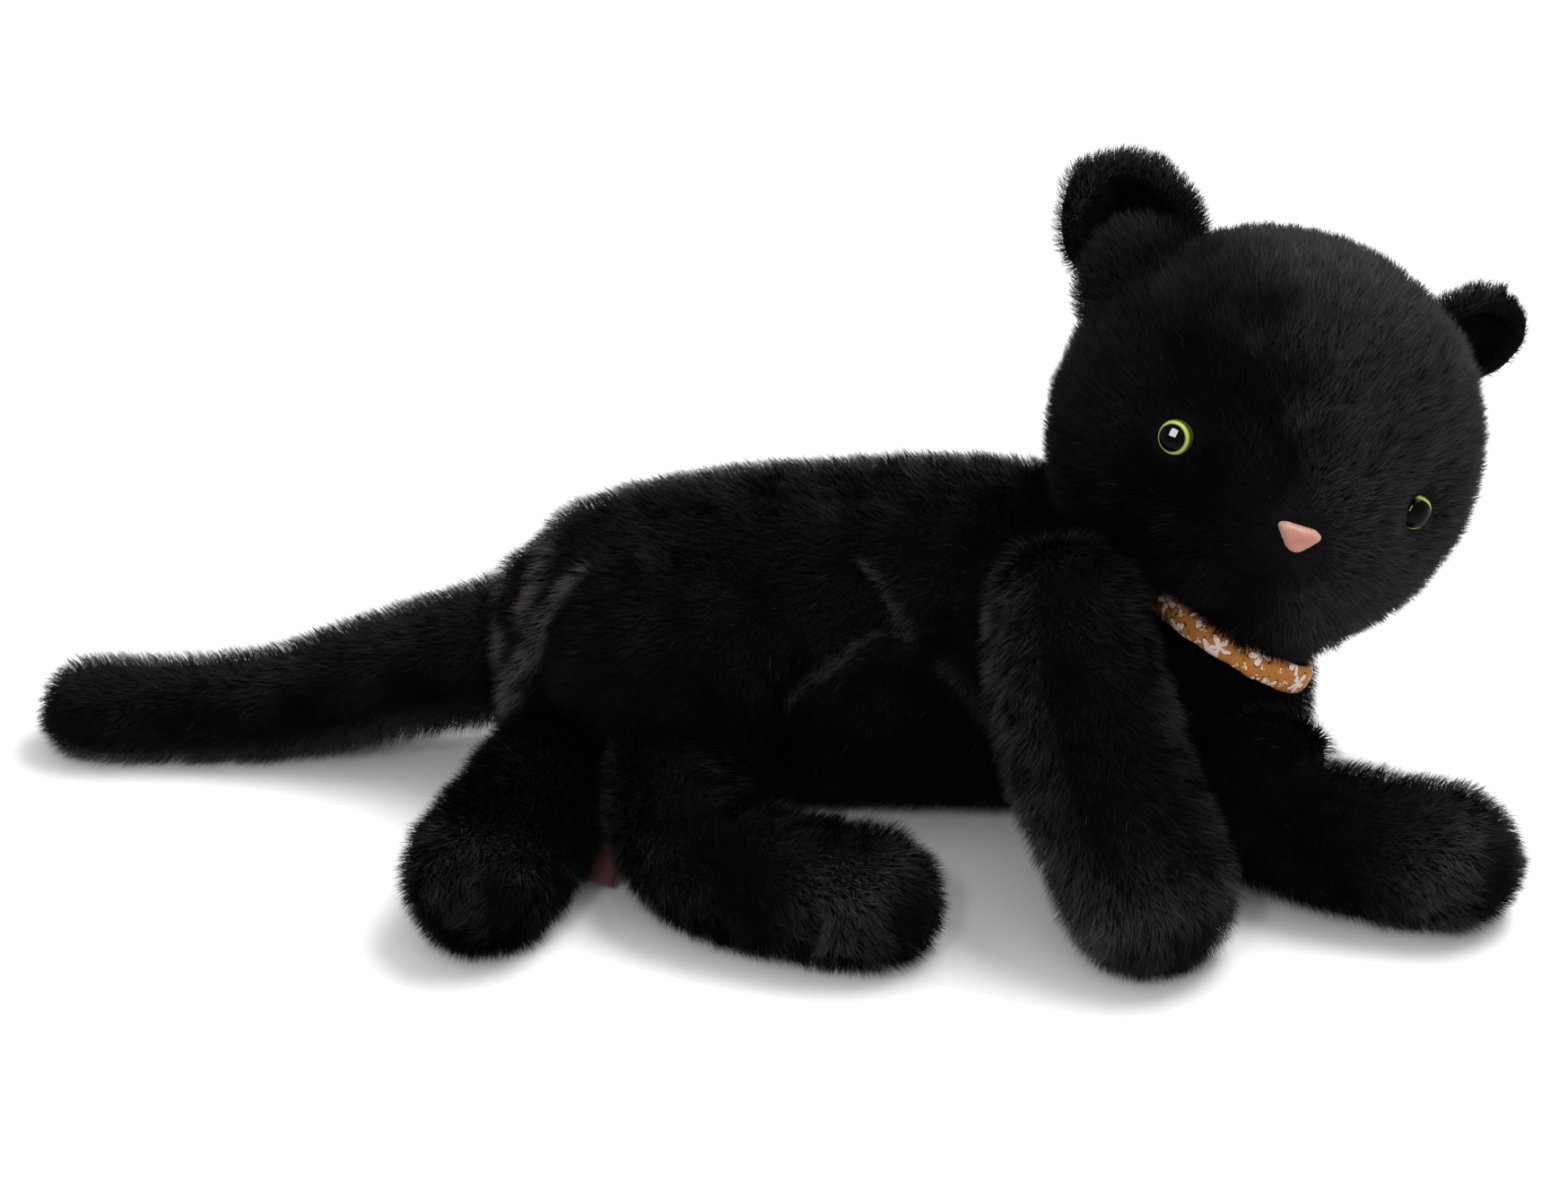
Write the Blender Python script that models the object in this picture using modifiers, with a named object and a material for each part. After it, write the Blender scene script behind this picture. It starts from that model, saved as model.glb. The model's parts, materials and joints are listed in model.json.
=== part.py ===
"""Plush cat, sewn from long-pile cloth and stuffed, lying on its left side.

Frame: metres, +Z up. The origin is on the surface the toy lies on, in the middle of the flat patch
under the torso. The spine runs along X with the head at +X, and the belly, the legs and the face
point to -Y. The cat's left side is down, so its shoulders and hips turn about upright axes.

Every furry solid ends at the backing cloth, and leaves out the pile that stands on it.
"""
import math

import bmesh
import bpy
from mathutils import Matrix, Vector

# Cloth and clearances
CLOTH = 0.0022  # backing cloth with the matted root of its pile
GAP = 0.0004  # between pieces that touch
SWING_GAP = 0.0015  # between a limb's round root and the pocket it turns in

# Torso: centre line and radius from rump to chest, as (x, y, z, radius)
TORSO_ROUTE = (
    (-0.056, 0.003, 0.0385, 0.0350),
    (-0.042, 0.002, 0.0425, 0.0420),
    (-0.008, 0.001, 0.0450, 0.0470),
    (0.035, 0.001, 0.0475, 0.0495),
    (0.078, -0.001, 0.0472, 0.0490),
    (0.104, -0.006, 0.0430, 0.0440),
    (0.122, -0.012, 0.0375, 0.0360),
)
PELLET_BAG_HALF = Vector((0.040, 0.016, 0.0050))
PELLET_BAG_X = 0.020

# Right thigh: a padded bulge sewn on the upper side of the rump
THIGH_CENTRE = Vector((-0.024, -0.0235, 0.0520))
THIGH_HALF = Vector((0.044, 0.034, 0.0280))
THIGH_FACING = Vector((0.0, -0.866, 0.5))
THIGH_MOUTH = 0.0080  # radius of the opening it is stuffed through, on the hidden side

# Head: half sizes across, front to back and upright, and the way it looks and stands
HEAD_HALF = Vector((0.0615, 0.0470, 0.0590))
HEAD_FACING = Vector((0.125, -0.972, 0.200))
HEAD_UP = Vector((0.330, 0.231, 0.915))
MUZZLE_OUT = 0.0105
MUZZLE_DROP = 0.0160
MUZZLE_HALF_WIDTH = 0.0260
MUZZLE_HALF_HEIGHT = 0.0200
HEAD_SEAT_CUT = 0.0160  # depth of the flat seam it is sewn to the neck by, cut off its underside
HEAD_SEAM = 0.0180  # width of cloth between that flat's rim and its opening

# Neck and collar
NECK_CENTRE = Vector((0.12396, -0.01640, 0.06212))
HEAD_SUNK = 0.0010  # how far the uncut head would reach past the neck's centre
HEAD_CENTRE = NECK_CENTRE + HEAD_UP.normalized() * (HEAD_HALF.z - HEAD_SUNK)
HEAD_SEAT = HEAD_HALF.z - HEAD_SEAT_CUT
NECK_RADIUS = 0.0195
NECK_HEIGHT = 0.0090  # of the neck wad above the collar's middle
NECK_DEPTH = 0.0100  # of the neck wad below it, in the torso
COLLAR_NAPE = Vector((-0.107, 0.946, 0.0))
COLLAR_RADIUS = 0.0262  # to the middle of the padded band
COLLAR_HALF_WIDTH = 0.0042
COLLAR_HALF_THICKNESS = 0.0020
COLLAR_CLOTH = 0.0006
COLLAR_JOINT_DEG = 20.0  # how much of the ring the sewn joint at the nape takes

# Ears
EAR_SIDE = 0.0570
EAR_HEIGHT = 0.0465
EAR_BEHIND = 0.0130
EAR_HALF_WIDTH = 0.0175
EAR_HALF_LENGTH = 0.0210
EAR_DEPTH = 0.0110
EAR_LINING = 0.0018

# Safety eyes
EYE_SIDE = 0.0377
EYE_HEIGHT = 0.0005
EYE_RADIUS = 0.0050
EYE_DOME = 0.0032
IRIS_THICKNESS = 0.0008
STEM_RADIUS = 0.0019
STEM_LENGTH = 0.0110
WASHER_RADIUS = 0.0070
WASHER_THICKNESS = 0.0014
WASHER_DEPTH = 0.0040  # from the cloth's outer face to the washer

# Satin-stitched nose
NOSE_HEIGHT = -0.0138
NOSE_HALF_WIDTH = 0.0068
NOSE_TALL = 0.0088
NOSE_THICKNESS = 0.0018

# Legs and tail: centre line and radius from root to tip; each turns about the upright line
# through its first point
LIMBS = {
    "fore_leg_right": (
        (0.0815, -0.0555, 0.0870, 0.0190),
        (0.0835, -0.0670, 0.0730, 0.0212),
        (0.0900, -0.0820, 0.0510, 0.0222),
        (0.0985, -0.0930, 0.0335, 0.0217),
        (0.1045, -0.1000, 0.0213, 0.0220),
    ),
    "fore_leg_left": (
        (0.1270, -0.0515, 0.0240, 0.0150),
        (0.1425, -0.0640, 0.0220, 0.0166),
        (0.1620, -0.0720, 0.0200, 0.0176),
        (0.1810, -0.0780, 0.0185, 0.0182),
        (0.1930, -0.0800, 0.0178, 0.0184),
    ),
    "hind_leg_right": (
        (-0.0330, -0.0540, 0.0285, 0.0165),
        (-0.0290, -0.0740, 0.0210, 0.0184),
        (-0.0120, -0.0880, 0.0175, 0.0180),
        (0.0100, -0.0960, 0.0165, 0.0174),
        (0.0245, -0.0990, 0.0165, 0.0172),
    ),
    "hind_leg_left": (
        (-0.0680, -0.0385, 0.0230, 0.0165),
        (-0.0745, -0.0580, 0.0212, 0.0186),
        (-0.0815, -0.0770, 0.0195, 0.0192),
        (-0.0870, -0.0910, 0.0190, 0.0195),
    ),
    "tail": (
        (-0.0870, 0.0050, 0.0390, 0.0185),
        (-0.1220, 0.0090, 0.0265, 0.0158),
        (-0.1600, 0.0110, 0.0145, 0.0138),
        (-0.1930, 0.0110, 0.0122, 0.0130),
        (-0.2160, 0.0115, 0.0122, 0.0130),
    ),
}
PAW_PELLETS_SHARE = 0.72  # how far along a leg its stuffing gives way to pellets

# Ribbon label in the seam between the hind legs
LABEL_ROOT = Vector((-0.0506, -0.0622, 0.0144))
LABEL_TIP_WAY = Vector((-0.28, -0.70, -0.66))
LABEL_LENGTH = 0.0120
LABEL_WIDTH = 0.0085
LABEL_THICKNESS = 0.0008

COLOURS = {
    "pile_cloth": ((0.010, 0.010, 0.012), 0.85),
    "stuffing": ((0.85, 0.85, 0.82), 0.95),
    "pellets": ((0.75, 0.78, 0.80), 0.60),
    "collar_cotton": ((0.42, 0.15, 0.03), 0.80),
    "eye_clear": ((0.02, 0.02, 0.02), 0.05),
    "eye_paint": ((0.45, 0.60, 0.08), 0.30),
    "eye_plastic": ((0.02, 0.02, 0.02), 0.45),
    "washer_plastic": ((0.80, 0.80, 0.78), 0.50),
    "nose_thread": ((0.72, 0.33, 0.25), 0.45),
    "label_ribbon": ((0.05, 0.02, 0.02), 0.60),
}

for leftover in list(bpy.data.objects):
    bpy.data.objects.remove(leftover)


def new_collection(name):
    collection = bpy.data.collections.new(name)
    bpy.context.scene.collection.children.link(collection)
    return collection


PARTS = new_collection("plush_cat")
CUTTERS = new_collection("cutters")


def finish_material(name):
    material = bpy.data.materials.get(name)
    if material:
        return material
    (red, green, blue), roughness = COLOURS[name]
    material = bpy.data.materials.new(name)
    material.use_nodes = True
    shader = material.node_tree.nodes["Principled BSDF"]
    shader.inputs["Base Color"].default_value = (red, green, blue, 1)
    shader.inputs["Roughness"].default_value = roughness
    shader.inputs["Metallic"].default_value = 0
    return material


def part(name, mesh, finish, parent=None):
    """A named solid. With a parent empty, its mesh is kept relative to that empty."""
    solid = bpy.data.objects.new(name, mesh)
    PARTS.objects.link(solid)
    mesh.materials.clear()
    mesh.materials.append(finish_material(finish))
    mesh.shade_smooth()
    if parent:
        mesh.transform(Matrix.Translation(-parent.location))
        solid.parent = parent
    return solid


def cutter(name, mesh):
    solid = bpy.data.objects.new(name, mesh)
    CUTTERS.objects.link(solid)
    solid.hide_render = True
    solid.display_type = "WIRE"
    return solid


def cut(solid, *tools):
    for tool in tools:
        boolean = solid.modifiers.new(f"cut_{tool.name}", "BOOLEAN")
        boolean.operation = "DIFFERENCE"
        boolean.solver = "EXACT"
        boolean.object = tool


def pivot(name, place):
    """An empty on a joint's axis, which carries the pieces that turn about it."""
    empty = bpy.data.objects.new(name, None)
    PARTS.objects.link(empty)
    empty.location = place
    return empty


def axes(first, up, place):
    """World matrix of a local frame whose Y looks along -first and whose Z stands along up."""
    back = -Vector(first).normalized()
    side = back.cross(Vector(up)).normalized()
    return Matrix.Translation(place) @ Matrix((side, back, side.cross(back))).transposed().to_4x4()


# Forms: closed meshes of the outer face of each stuffed part


def smooth_route(route, per_span=2):
    """Points and radii on a smooth line through the route's own."""
    ends = [2 * Vector(route[0]) - Vector(route[1]), 2 * Vector(route[-1]) - Vector(route[-2])]
    knots = [ends[0], *map(Vector, route), ends[1]]
    line = []
    for a, b, c, d in zip(knots, knots[1:], knots[2:], knots[3:]):
        for step in range(per_span):
            t = step / per_span
            line.append(
                b + t * (c - a) / 2
                + t * t * (2 * a - 5 * b + 4 * c - d) / 2
                + t * t * t * (3 * b - a - 3 * c + d) / 2
            )
    line.append(knots[-2])
    return line


def with_round_ends(line, first_deg, last_deg, steps=3):
    """The line with a dome at each end, whose last ring is that many degrees up the dome."""

    def dome(end, inner, top):
        centre, radius = end.xyz, end.w
        way = (centre - inner.xyz).normalized()
        turns = [math.radians(top) * (i + 1) / steps for i in range(steps)]
        return [
            Vector((*(centre + way * radius * math.sin(t)), radius * math.cos(t))) for t in turns
        ]

    return dome(line[0], line[1], first_deg)[::-1] + list(line) + dome(line[-1], line[-2], last_deg)


def tube_mesh(name, stations, bevel_resolution):
    """A closed tube of changing radius along a poly curve, its end caps welded on."""
    data = bpy.data.curves.new(name, "CURVE")
    data.dimensions = "3D"
    data.bevel_depth = 1.0
    data.bevel_resolution = bevel_resolution
    data.use_fill_caps = True
    spline = data.splines.new("POLY")
    spline.points.add(len(stations) - 1)
    for point, station in zip(spline.points, stations):
        point.co = (*station.xyz, 1)
        point.radius = station.w
    guide = bpy.data.objects.new(name, data)
    CUTTERS.objects.link(guide)
    graph = bpy.context.evaluated_depsgraph_get()
    mesh = bpy.data.meshes.new_from_object(guide.evaluated_get(graph))
    bpy.data.objects.remove(guide)
    form = bmesh.new()
    form.from_mesh(mesh)
    bmesh.ops.remove_doubles(form, verts=form.verts, dist=1e-5)
    bmesh.ops.recalc_face_normals(form, faces=form.faces)
    form.to_mesh(mesh)
    form.free()
    return mesh


def flattened(mesh):
    """The form with a flat underside where its weight presses it on the surface it lies on."""
    return parted(mesh, Vector((0, 0, 0)), Vector((0, 0, -1)))


def shrunk(mesh, inset):
    """A copy of a form whose faces lie that far inside it."""
    copy = mesh.copy()
    form = bmesh.new()
    form.from_mesh(copy)
    form.normal_update()
    for vertex in form.verts:
        vertex.co -= vertex.normal * inset
    form.to_mesh(copy)
    form.free()
    return copy


def opened(mesh, place, radius):
    """A copy of a form without the faces whose middle is that near a place."""
    copy = mesh.copy()
    form = bmesh.new()
    form.from_mesh(copy)
    near = [f for f in form.faces if (f.calc_center_median() - place).length < radius]
    bmesh.ops.delete(form, geom=near, context="FACES")
    form.to_mesh(copy)
    form.free()
    return copy


def parted(mesh, place, way):
    """A copy of a closed form with everything past a plane cut off, and the cut closed flat."""
    copy = mesh.copy()
    form = bmesh.new()
    form.from_mesh(copy)
    everything = form.verts[:] + form.edges[:] + form.faces[:]
    done = bmesh.ops.bisect_plane(
        form, geom=everything, dist=1e-6, plane_co=place, plane_no=way, clear_outer=True
    )
    rim = [g for g in done["geom_cut"] if isinstance(g, bmesh.types.BMEdge)]
    bmesh.ops.contextual_create(form, geom=rim)
    bmesh.ops.recalc_face_normals(form, faces=form.faces)
    form.to_mesh(copy)
    form.free()
    return copy


def ball_mesh(name, matrix, half, across=16, rings=10):
    """An ellipsoid of the given half sizes."""
    form = bmesh.new()
    bmesh.ops.create_uvsphere(form, u_segments=across, v_segments=rings, radius=1)
    bmesh.ops.scale(form, vec=half, verts=form.verts)
    bmesh.ops.transform(form, matrix=matrix, verts=form.verts)
    mesh = bpy.data.meshes.new(name)
    form.to_mesh(mesh)
    form.free()
    return mesh


def rod_mesh(name, matrix, radius, low, high, sides=20):
    """A cylinder along the matrix's Z, from low to high."""
    form = bmesh.new()
    bmesh.ops.create_cone(
        form, cap_ends=True, segments=sides, radius1=radius, radius2=radius, depth=high - low
    )
    bmesh.ops.translate(form, vec=(0, 0, (low + high) / 2), verts=form.verts)
    bmesh.ops.transform(form, matrix=matrix, verts=form.verts)
    mesh = bpy.data.meshes.new(name)
    form.to_mesh(mesh)
    form.free()
    return mesh


def add_cloth(solid, thickness=CLOTH):
    """Gives an open surface the cloth's thickness, inwards."""
    wall = solid.modifiers.new("cloth", "SOLIDIFY")
    wall.thickness = thickness
    wall.offset = -1


# Limbs: a cloth tube, round at its root so that it turns in its pocket, stuffed, with pellets in
# each paw


def limb_form(name, open_root_deg=68, closed_tip_deg=82):
    stations = with_round_ends(smooth_route(LIMBS[name]), open_root_deg, closed_tip_deg)
    return flattened(tube_mesh(name, stations, bevel_resolution=4))


def make_limb(name, has_pellets):
    route = LIMBS[name]
    turning = pivot(f"{name}_pivot", Vector(route[0][:3]))
    form = limb_form(name)
    way = (Vector(route[0][:3]) - Vector(route[1][:3])).normalized()
    root_end = Vector(route[0][:3]) + way * route[0][3]
    skin = part(f"{name}_skin", opened(form, root_end, route[0][3] * 0.3), "pile_cloth", turning)
    add_cloth(skin)
    core = shrunk(form, CLOTH + GAP)
    if not has_pellets:
        part(f"{name}_stuffing", core, "stuffing", turning)
        return
    line = smooth_route(route)
    at = round(PAW_PELLETS_SHARE * (len(line) - 1))
    split, along = line[at].xyz, (line[at + 1].xyz - line[at].xyz).normalized()
    half_gap = along * GAP / 2
    part(f"{name}_stuffing", parted(core, split - half_gap, along), "stuffing", turning)
    part(f"{name}_pellets", parted(core, split + half_gap, -along), "pellets", turning)


for limb in LIMBS:
    make_limb(limb, has_pellets=limb != "tail")


# Head frame: X to the cat's left, Y to the back of the head, Z to its crown. It turns about the
# line that its up gives, through the middle of the neck and of the collar
HEAD_AXES = axes(HEAD_FACING, HEAD_UP, HEAD_CENTRE)
TURN_AXIS = HEAD_UP.normalized()
TURN_AXES = TURN_AXIS.to_track_quat("Z", "Y").to_matrix().to_4x4()
NECK_AXES = Matrix.Translation(NECK_CENTRE) @ TURN_AXES
head_pivot = pivot("head_pivot", HEAD_CENTRE)


def head_surface(x, z):
    """How far the front of the head stands before its centre at a place across and up."""
    round_part = HEAD_HALF.y * math.sqrt(max(0, 1 - (x / HEAD_HALF.x) ** 2 - (z / HEAD_HALF.z) ** 2))
    across, up = x / MUZZLE_HALF_WIDTH, (z + MUZZLE_DROP) / MUZZLE_HALF_HEIGHT
    return round_part + MUZZLE_OUT * math.exp(-(across**2) - up**2)


def head_form():
    form = bmesh.new()
    bmesh.ops.create_uvsphere(form, u_segments=24, v_segments=14, radius=1)
    bmesh.ops.scale(form, vec=HEAD_HALF, verts=form.verts)
    for vertex in form.verts:
        if vertex.co.y < 0:
            fade = min(1, -vertex.co.y / (HEAD_HALF.y * 0.4))
            front = head_surface(vertex.co.x, vertex.co.z)
            vertex.co.y += fade * (-front - vertex.co.y)
    bmesh.ops.triangulate(form, faces=form.faces)
    bmesh.ops.transform(form, matrix=HEAD_AXES, verts=form.verts)
    mesh = bpy.data.meshes.new("head")
    form.to_mesh(mesh)
    form.free()
    return parted(mesh, HEAD_CENTRE - TURN_AXIS * HEAD_SEAT, -TURN_AXIS)


def opened_seat(mesh):
    """A copy of the head with an opening in its flat seam, inside a border of cloth."""
    copy = mesh.copy()
    form = bmesh.new()
    form.from_mesh(copy)
    seat = max(form.faces, key=lambda face: face.calc_area())
    bmesh.ops.inset_individual(form, faces=[seat], thickness=HEAD_SEAM)
    bmesh.ops.delete(form, geom=[seat], context="FACES")
    form.to_mesh(copy)
    form.free()
    return copy


def face_axes(x, z):
    """A frame on the face whose Z points straight out of it."""
    step = 0.001
    slope_x = (head_surface(x + step, z) - head_surface(x - step, z)) / (2 * step)
    slope_z = (head_surface(x, z + step) - head_surface(x, z - step)) / (2 * step)
    out = Vector((-slope_x, -1, -slope_z)).normalized()
    side = Vector((0, 0, 1)).cross(out).normalized()
    turn = Matrix((side, out.cross(side), out)).transposed().to_4x4()
    return HEAD_AXES @ Matrix.Translation((x, -head_surface(x, z), z)) @ turn


def turned_mesh(name, profile, matrix, steps=20):
    """A solid turned about the matrix's Z from a profile of (radius, height) run top to bottom."""
    form = bmesh.new()
    ring = [form.verts.new((r, 0, z)) for r, z in profile]
    edges = [form.edges.new(pair) for pair in zip(ring, ring[1:])]
    bmesh.ops.spin(
        form, geom=ring + edges, cent=(0, 0, 0), axis=(0, 0, 1), angle=2 * math.pi, steps=steps,
        use_merge=True,
    )
    bmesh.ops.remove_doubles(form, verts=form.verts, dist=1e-6)
    bmesh.ops.recalc_face_normals(form, faces=form.faces)
    bmesh.ops.transform(form, matrix=matrix, verts=form.verts)
    mesh = bpy.data.meshes.new(name)
    form.to_mesh(mesh)
    form.free()
    return mesh


def dome_profile(radius, height, base):
    """A shallow dome standing on a flat base."""
    turns = [math.radians(90 * i / 6) for i in range(7)]
    arc = [(radius * math.sin(t), base + height * math.cos(t)) for t in turns]
    return arc + [(0, base)]


def make_eye(side, sign, head_skin, head_core):
    """A safety eye: a clear dome over a painted iris, on a stem that a washer locks behind."""
    place = face_axes(sign * EYE_SIDE, EYE_HEIGHT)
    iris_top = GAP + IRIS_THICKNESS
    washer_top = -WASHER_DEPTH
    part(
        f"eye_{side}_dome",
        turned_mesh("dome", dome_profile(EYE_RADIUS, EYE_DOME, iris_top + GAP), place),
        "eye_clear",
        head_pivot,
    )
    part(
        f"eye_{side}_iris",
        rod_mesh("iris", place, EYE_RADIUS - GAP, GAP, iris_top, sides=24),
        "eye_paint",
        head_pivot,
    )
    part(
        f"eye_{side}_stem",
        rod_mesh("stem", place, STEM_RADIUS, -STEM_LENGTH, 0, sides=12),
        "eye_plastic",
        head_pivot,
    )
    ring = [
        (STEM_RADIUS + GAP, washer_top),
        (WASHER_RADIUS, washer_top),
        (WASHER_RADIUS, washer_top - WASHER_THICKNESS),
        (STEM_RADIUS + GAP, washer_top - WASHER_THICKNESS),
        (STEM_RADIUS + GAP, washer_top),
    ]
    part(f"eye_{side}_washer", turned_mesh("washer", ring, place), "washer_plastic", head_pivot)
    hole = cutter(
        f"eye_{side}_hole",
        rod_mesh("hole", place, STEM_RADIUS + GAP, -STEM_LENGTH, STEM_LENGTH, sides=12),
    )
    room = cutter(
        f"eye_{side}_room",
        rod_mesh("room", place, WASHER_RADIUS + GAP, -STEM_LENGTH - GAP, STEM_LENGTH, sides=16),
    )
    cut(head_skin, hole)
    cut(head_core, room)


def make_ear(side, sign):
    """A round cup of two cloths, back and lining, sewn to the side of the crown."""
    outward = Vector((sign * EAR_SIDE, 0, EAR_HEIGHT)).normalized()
    facing = Vector((sign * 0.55, -0.83, 0)).normalized()
    across = outward.cross(facing).normalized()
    facing = across.cross(outward).normalized()
    turn = Matrix((across, outward, facing)).transposed().to_4x4()
    place = HEAD_AXES @ Matrix.Translation((sign * EAR_SIDE, EAR_BEHIND, EAR_HEIGHT)) @ turn
    base = cutter(f"ear_{side}_base", shrunk(head, -GAP))
    layers = (("back", 0.0, CLOTH), ("lining", CLOTH + GAP, EAR_LINING))
    for layer, inset, wall in layers:
        half = Vector((EAR_HALF_WIDTH - inset, EAR_HALF_LENGTH - inset, EAR_DEPTH - inset))
        form = bmesh.new()
        bmesh.ops.create_uvsphere(form, u_segments=16, v_segments=12, radius=1)
        bmesh.ops.scale(form, vec=half, verts=form.verts)
        everything = form.verts[:] + form.edges[:] + form.faces[:]
        bmesh.ops.bisect_plane(
            form, geom=everything, dist=1e-6, plane_co=(0, 0, 0), plane_no=(0, 0, 1),
            clear_outer=True,
        )
        bmesh.ops.transform(form, matrix=place, verts=form.verts)
        mesh = bpy.data.meshes.new(f"ear_{layer}")
        form.to_mesh(mesh)
        form.free()
        ear = part(f"ear_{side}_{layer}", mesh, "pile_cloth", head_pivot)
        add_cloth(ear, wall)
        cut(ear, base)


def make_nose():
    """A rounded triangle of satin stitch, flat side up."""
    outline = bpy.data.curves.new("nose", "CURVE")
    outline.dimensions = "2D"
    outline.fill_mode = "BOTH"
    outline.extrude = NOSE_THICKNESS / 2 - NOSE_THICKNESS / 6
    outline.bevel_depth = NOSE_THICKNESS / 6
    outline.bevel_resolution = 1
    outline.resolution_u = 4
    spline = outline.splines.new("BEZIER")
    corners = (
        (-NOSE_HALF_WIDTH, NOSE_TALL * 0.35),
        (0, NOSE_TALL * 0.5),
        (NOSE_HALF_WIDTH, NOSE_TALL * 0.35),
        (0, -NOSE_TALL * 0.5),
    )
    spline.bezier_points.add(len(corners) - 1)
    for point, (x, y) in zip(spline.bezier_points, corners):
        point.co = (x, y, 0)
        point.handle_left_type = point.handle_right_type = "AUTO"
    spline.use_cyclic_u = True
    guide = bpy.data.objects.new("nose_guide", outline)
    CUTTERS.objects.link(guide)
    graph = bpy.context.evaluated_depsgraph_get()
    mesh = bpy.data.meshes.new_from_object(guide.evaluated_get(graph))
    bpy.data.objects.remove(guide)
    form = bmesh.new()
    form.from_mesh(mesh)
    bmesh.ops.remove_doubles(form, verts=form.verts, dist=1e-6)
    bmesh.ops.recalc_face_normals(form, faces=form.faces)
    form.to_mesh(mesh)
    form.free()
    rise = Matrix.Translation((0, 0, GAP + NOSE_THICKNESS / 2))
    mesh.transform(face_axes(0, NOSE_HEIGHT) @ rise)
    part("nose_patch", mesh, "nose_thread", head_pivot)


head = head_form()
head_skin = part("head_skin", opened_seat(head), "pile_cloth", head_pivot)
add_cloth(head_skin)
head_core = part("head_stuffing", shrunk(head, CLOTH + GAP), "stuffing", head_pivot)
for side, sign in (("left", 1), ("right", -1)):
    make_eye(side, sign, head_skin, head_core)
    make_ear(side, sign)
make_nose()


# Torso: cloth and stuffing, with a round pocket for the head and for each limb's root, lined by
# the cloth


def pocket_cutters(name, extra):
    """What the torso leaves free for each limb's root, the head and the collar, plus extra."""
    tools = []
    for limb, route in LIMBS.items():
        reach = route[0][3] + SWING_GAP + extra
        mesh = ball_mesh(limb, Matrix.Translation(route[0][:3]), Vector((reach,) * 3))
        tools.append(cutter(f"{name}_{limb}", mesh))
    widest = max(HEAD_HALF.x, HEAD_HALF.y) + SWING_GAP + extra
    tallest = HEAD_HALF.z + SWING_GAP + extra
    room = Vector((widest, widest, tallest))
    ball = ball_mesh("head_room", Matrix.Translation(HEAD_CENTRE) @ TURN_AXES, room, 22, 14)
    top = NECK_CENTRE + TURN_AXIS * (COLLAR_HALF_WIDTH - extra)
    tools.append(cutter(f"{name}_head", parted(ball, top, -TURN_AXIS)))
    reach = COLLAR_RADIUS + COLLAR_HALF_THICKNESS + GAP + extra
    mesh = rod_mesh("seat", NECK_AXES, reach, -COLLAR_HALF_WIDTH - GAP - extra, HEAD_SEAT)
    tools.append(cutter(f"{name}_collar", mesh))
    return tools


torso_line = with_round_ends(smooth_route(TORSO_ROUTE), 80, 82)
torso = flattened(tube_mesh("torso", torso_line, bevel_resolution=6))
neck_hole = cutter(
    "neck_hole", rod_mesh("neck_hole", NECK_AXES, NECK_RADIUS + GAP, -NECK_DEPTH - GAP, HEAD_SEAT)
)
cavity = cutter("torso_cavity", shrunk(torso, CLOTH))
cut(cavity, *pocket_cutters("lining", CLOTH))
torso_skin = part("torso_skin", torso, "pile_cloth")
cut(torso_skin, *pocket_cutters("pocket", 0), cavity, neck_hole)

bag_top = CLOTH + 2 * GAP + 2 * PELLET_BAG_HALF.z
core = parted(shrunk(torso, CLOTH + GAP), Vector((0, 0, bag_top + GAP)), Vector((0, 0, -1)))
torso_core = part("torso_stuffing", core, "stuffing")
cut(torso_core, *pocket_cutters("core", CLOTH + GAP), neck_hole)
bag_centre = Vector((PELLET_BAG_X, 0, CLOTH + GAP + PELLET_BAG_HALF.z))
part(
    "belly_pellet_bag",
    ball_mesh("bag", Matrix.Translation(bag_centre), PELLET_BAG_HALF, 16, 8),
    "pellets",
)


# Thigh: an oval pad whose underside follows the torso


def make_thigh():
    place = axes(THIGH_FACING, Vector((0, 0.5, 0.866)), THIGH_CENTRE)
    half = Vector((THIGH_HALF.x, THIGH_HALF.z, THIGH_HALF.y))
    outer = ball_mesh("thigh", place, half, 24, 14)
    hollow = cutter("thigh_hollow", shrunk(outer, CLOTH))
    skin = part("thigh_right_skin", outer, "pile_cloth")
    filling = part("thigh_right_stuffing", shrunk(outer, CLOTH + GAP), "stuffing")
    layers = (
        (skin, GAP, "pocket"),
        (hollow, GAP + CLOTH, "lining"),
        (filling, 2 * GAP + CLOTH, "core"),
    )
    for solid, lift, pockets in layers:
        cut(solid, cutter(f"thigh_under_{pockets}", shrunk(torso, -lift)))
        for limb in ("hind_leg_right", "hind_leg_left"):
            cut(solid, bpy.data.objects[f"{pockets}_{limb}"])
    facing = THIGH_FACING.to_track_quat("Z", "Y").to_matrix().to_4x4()
    through = rod_mesh(
        "mouth", Matrix.Translation(THIGH_CENTRE) @ facing, THIGH_MOUTH, 0,
        THIGH_HALF.z - CLOTH - 2 * GAP, sides=16,
    )
    cut(skin, hollow, cutter("thigh_mouth", through))


make_thigh()


# Neck: a firm wad that turns in the torso under the head
neck_pivot = pivot("neck_pivot", NECK_CENTRE)
part(
    "neck_wad",
    rod_mesh("neck_wad", NECK_AXES, NECK_RADIUS, -NECK_DEPTH, NECK_HEIGHT, sides=24),
    "stuffing",
    neck_pivot,
)


# Collar: a padded cotton band round the neck, sewn closed at the nape


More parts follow.
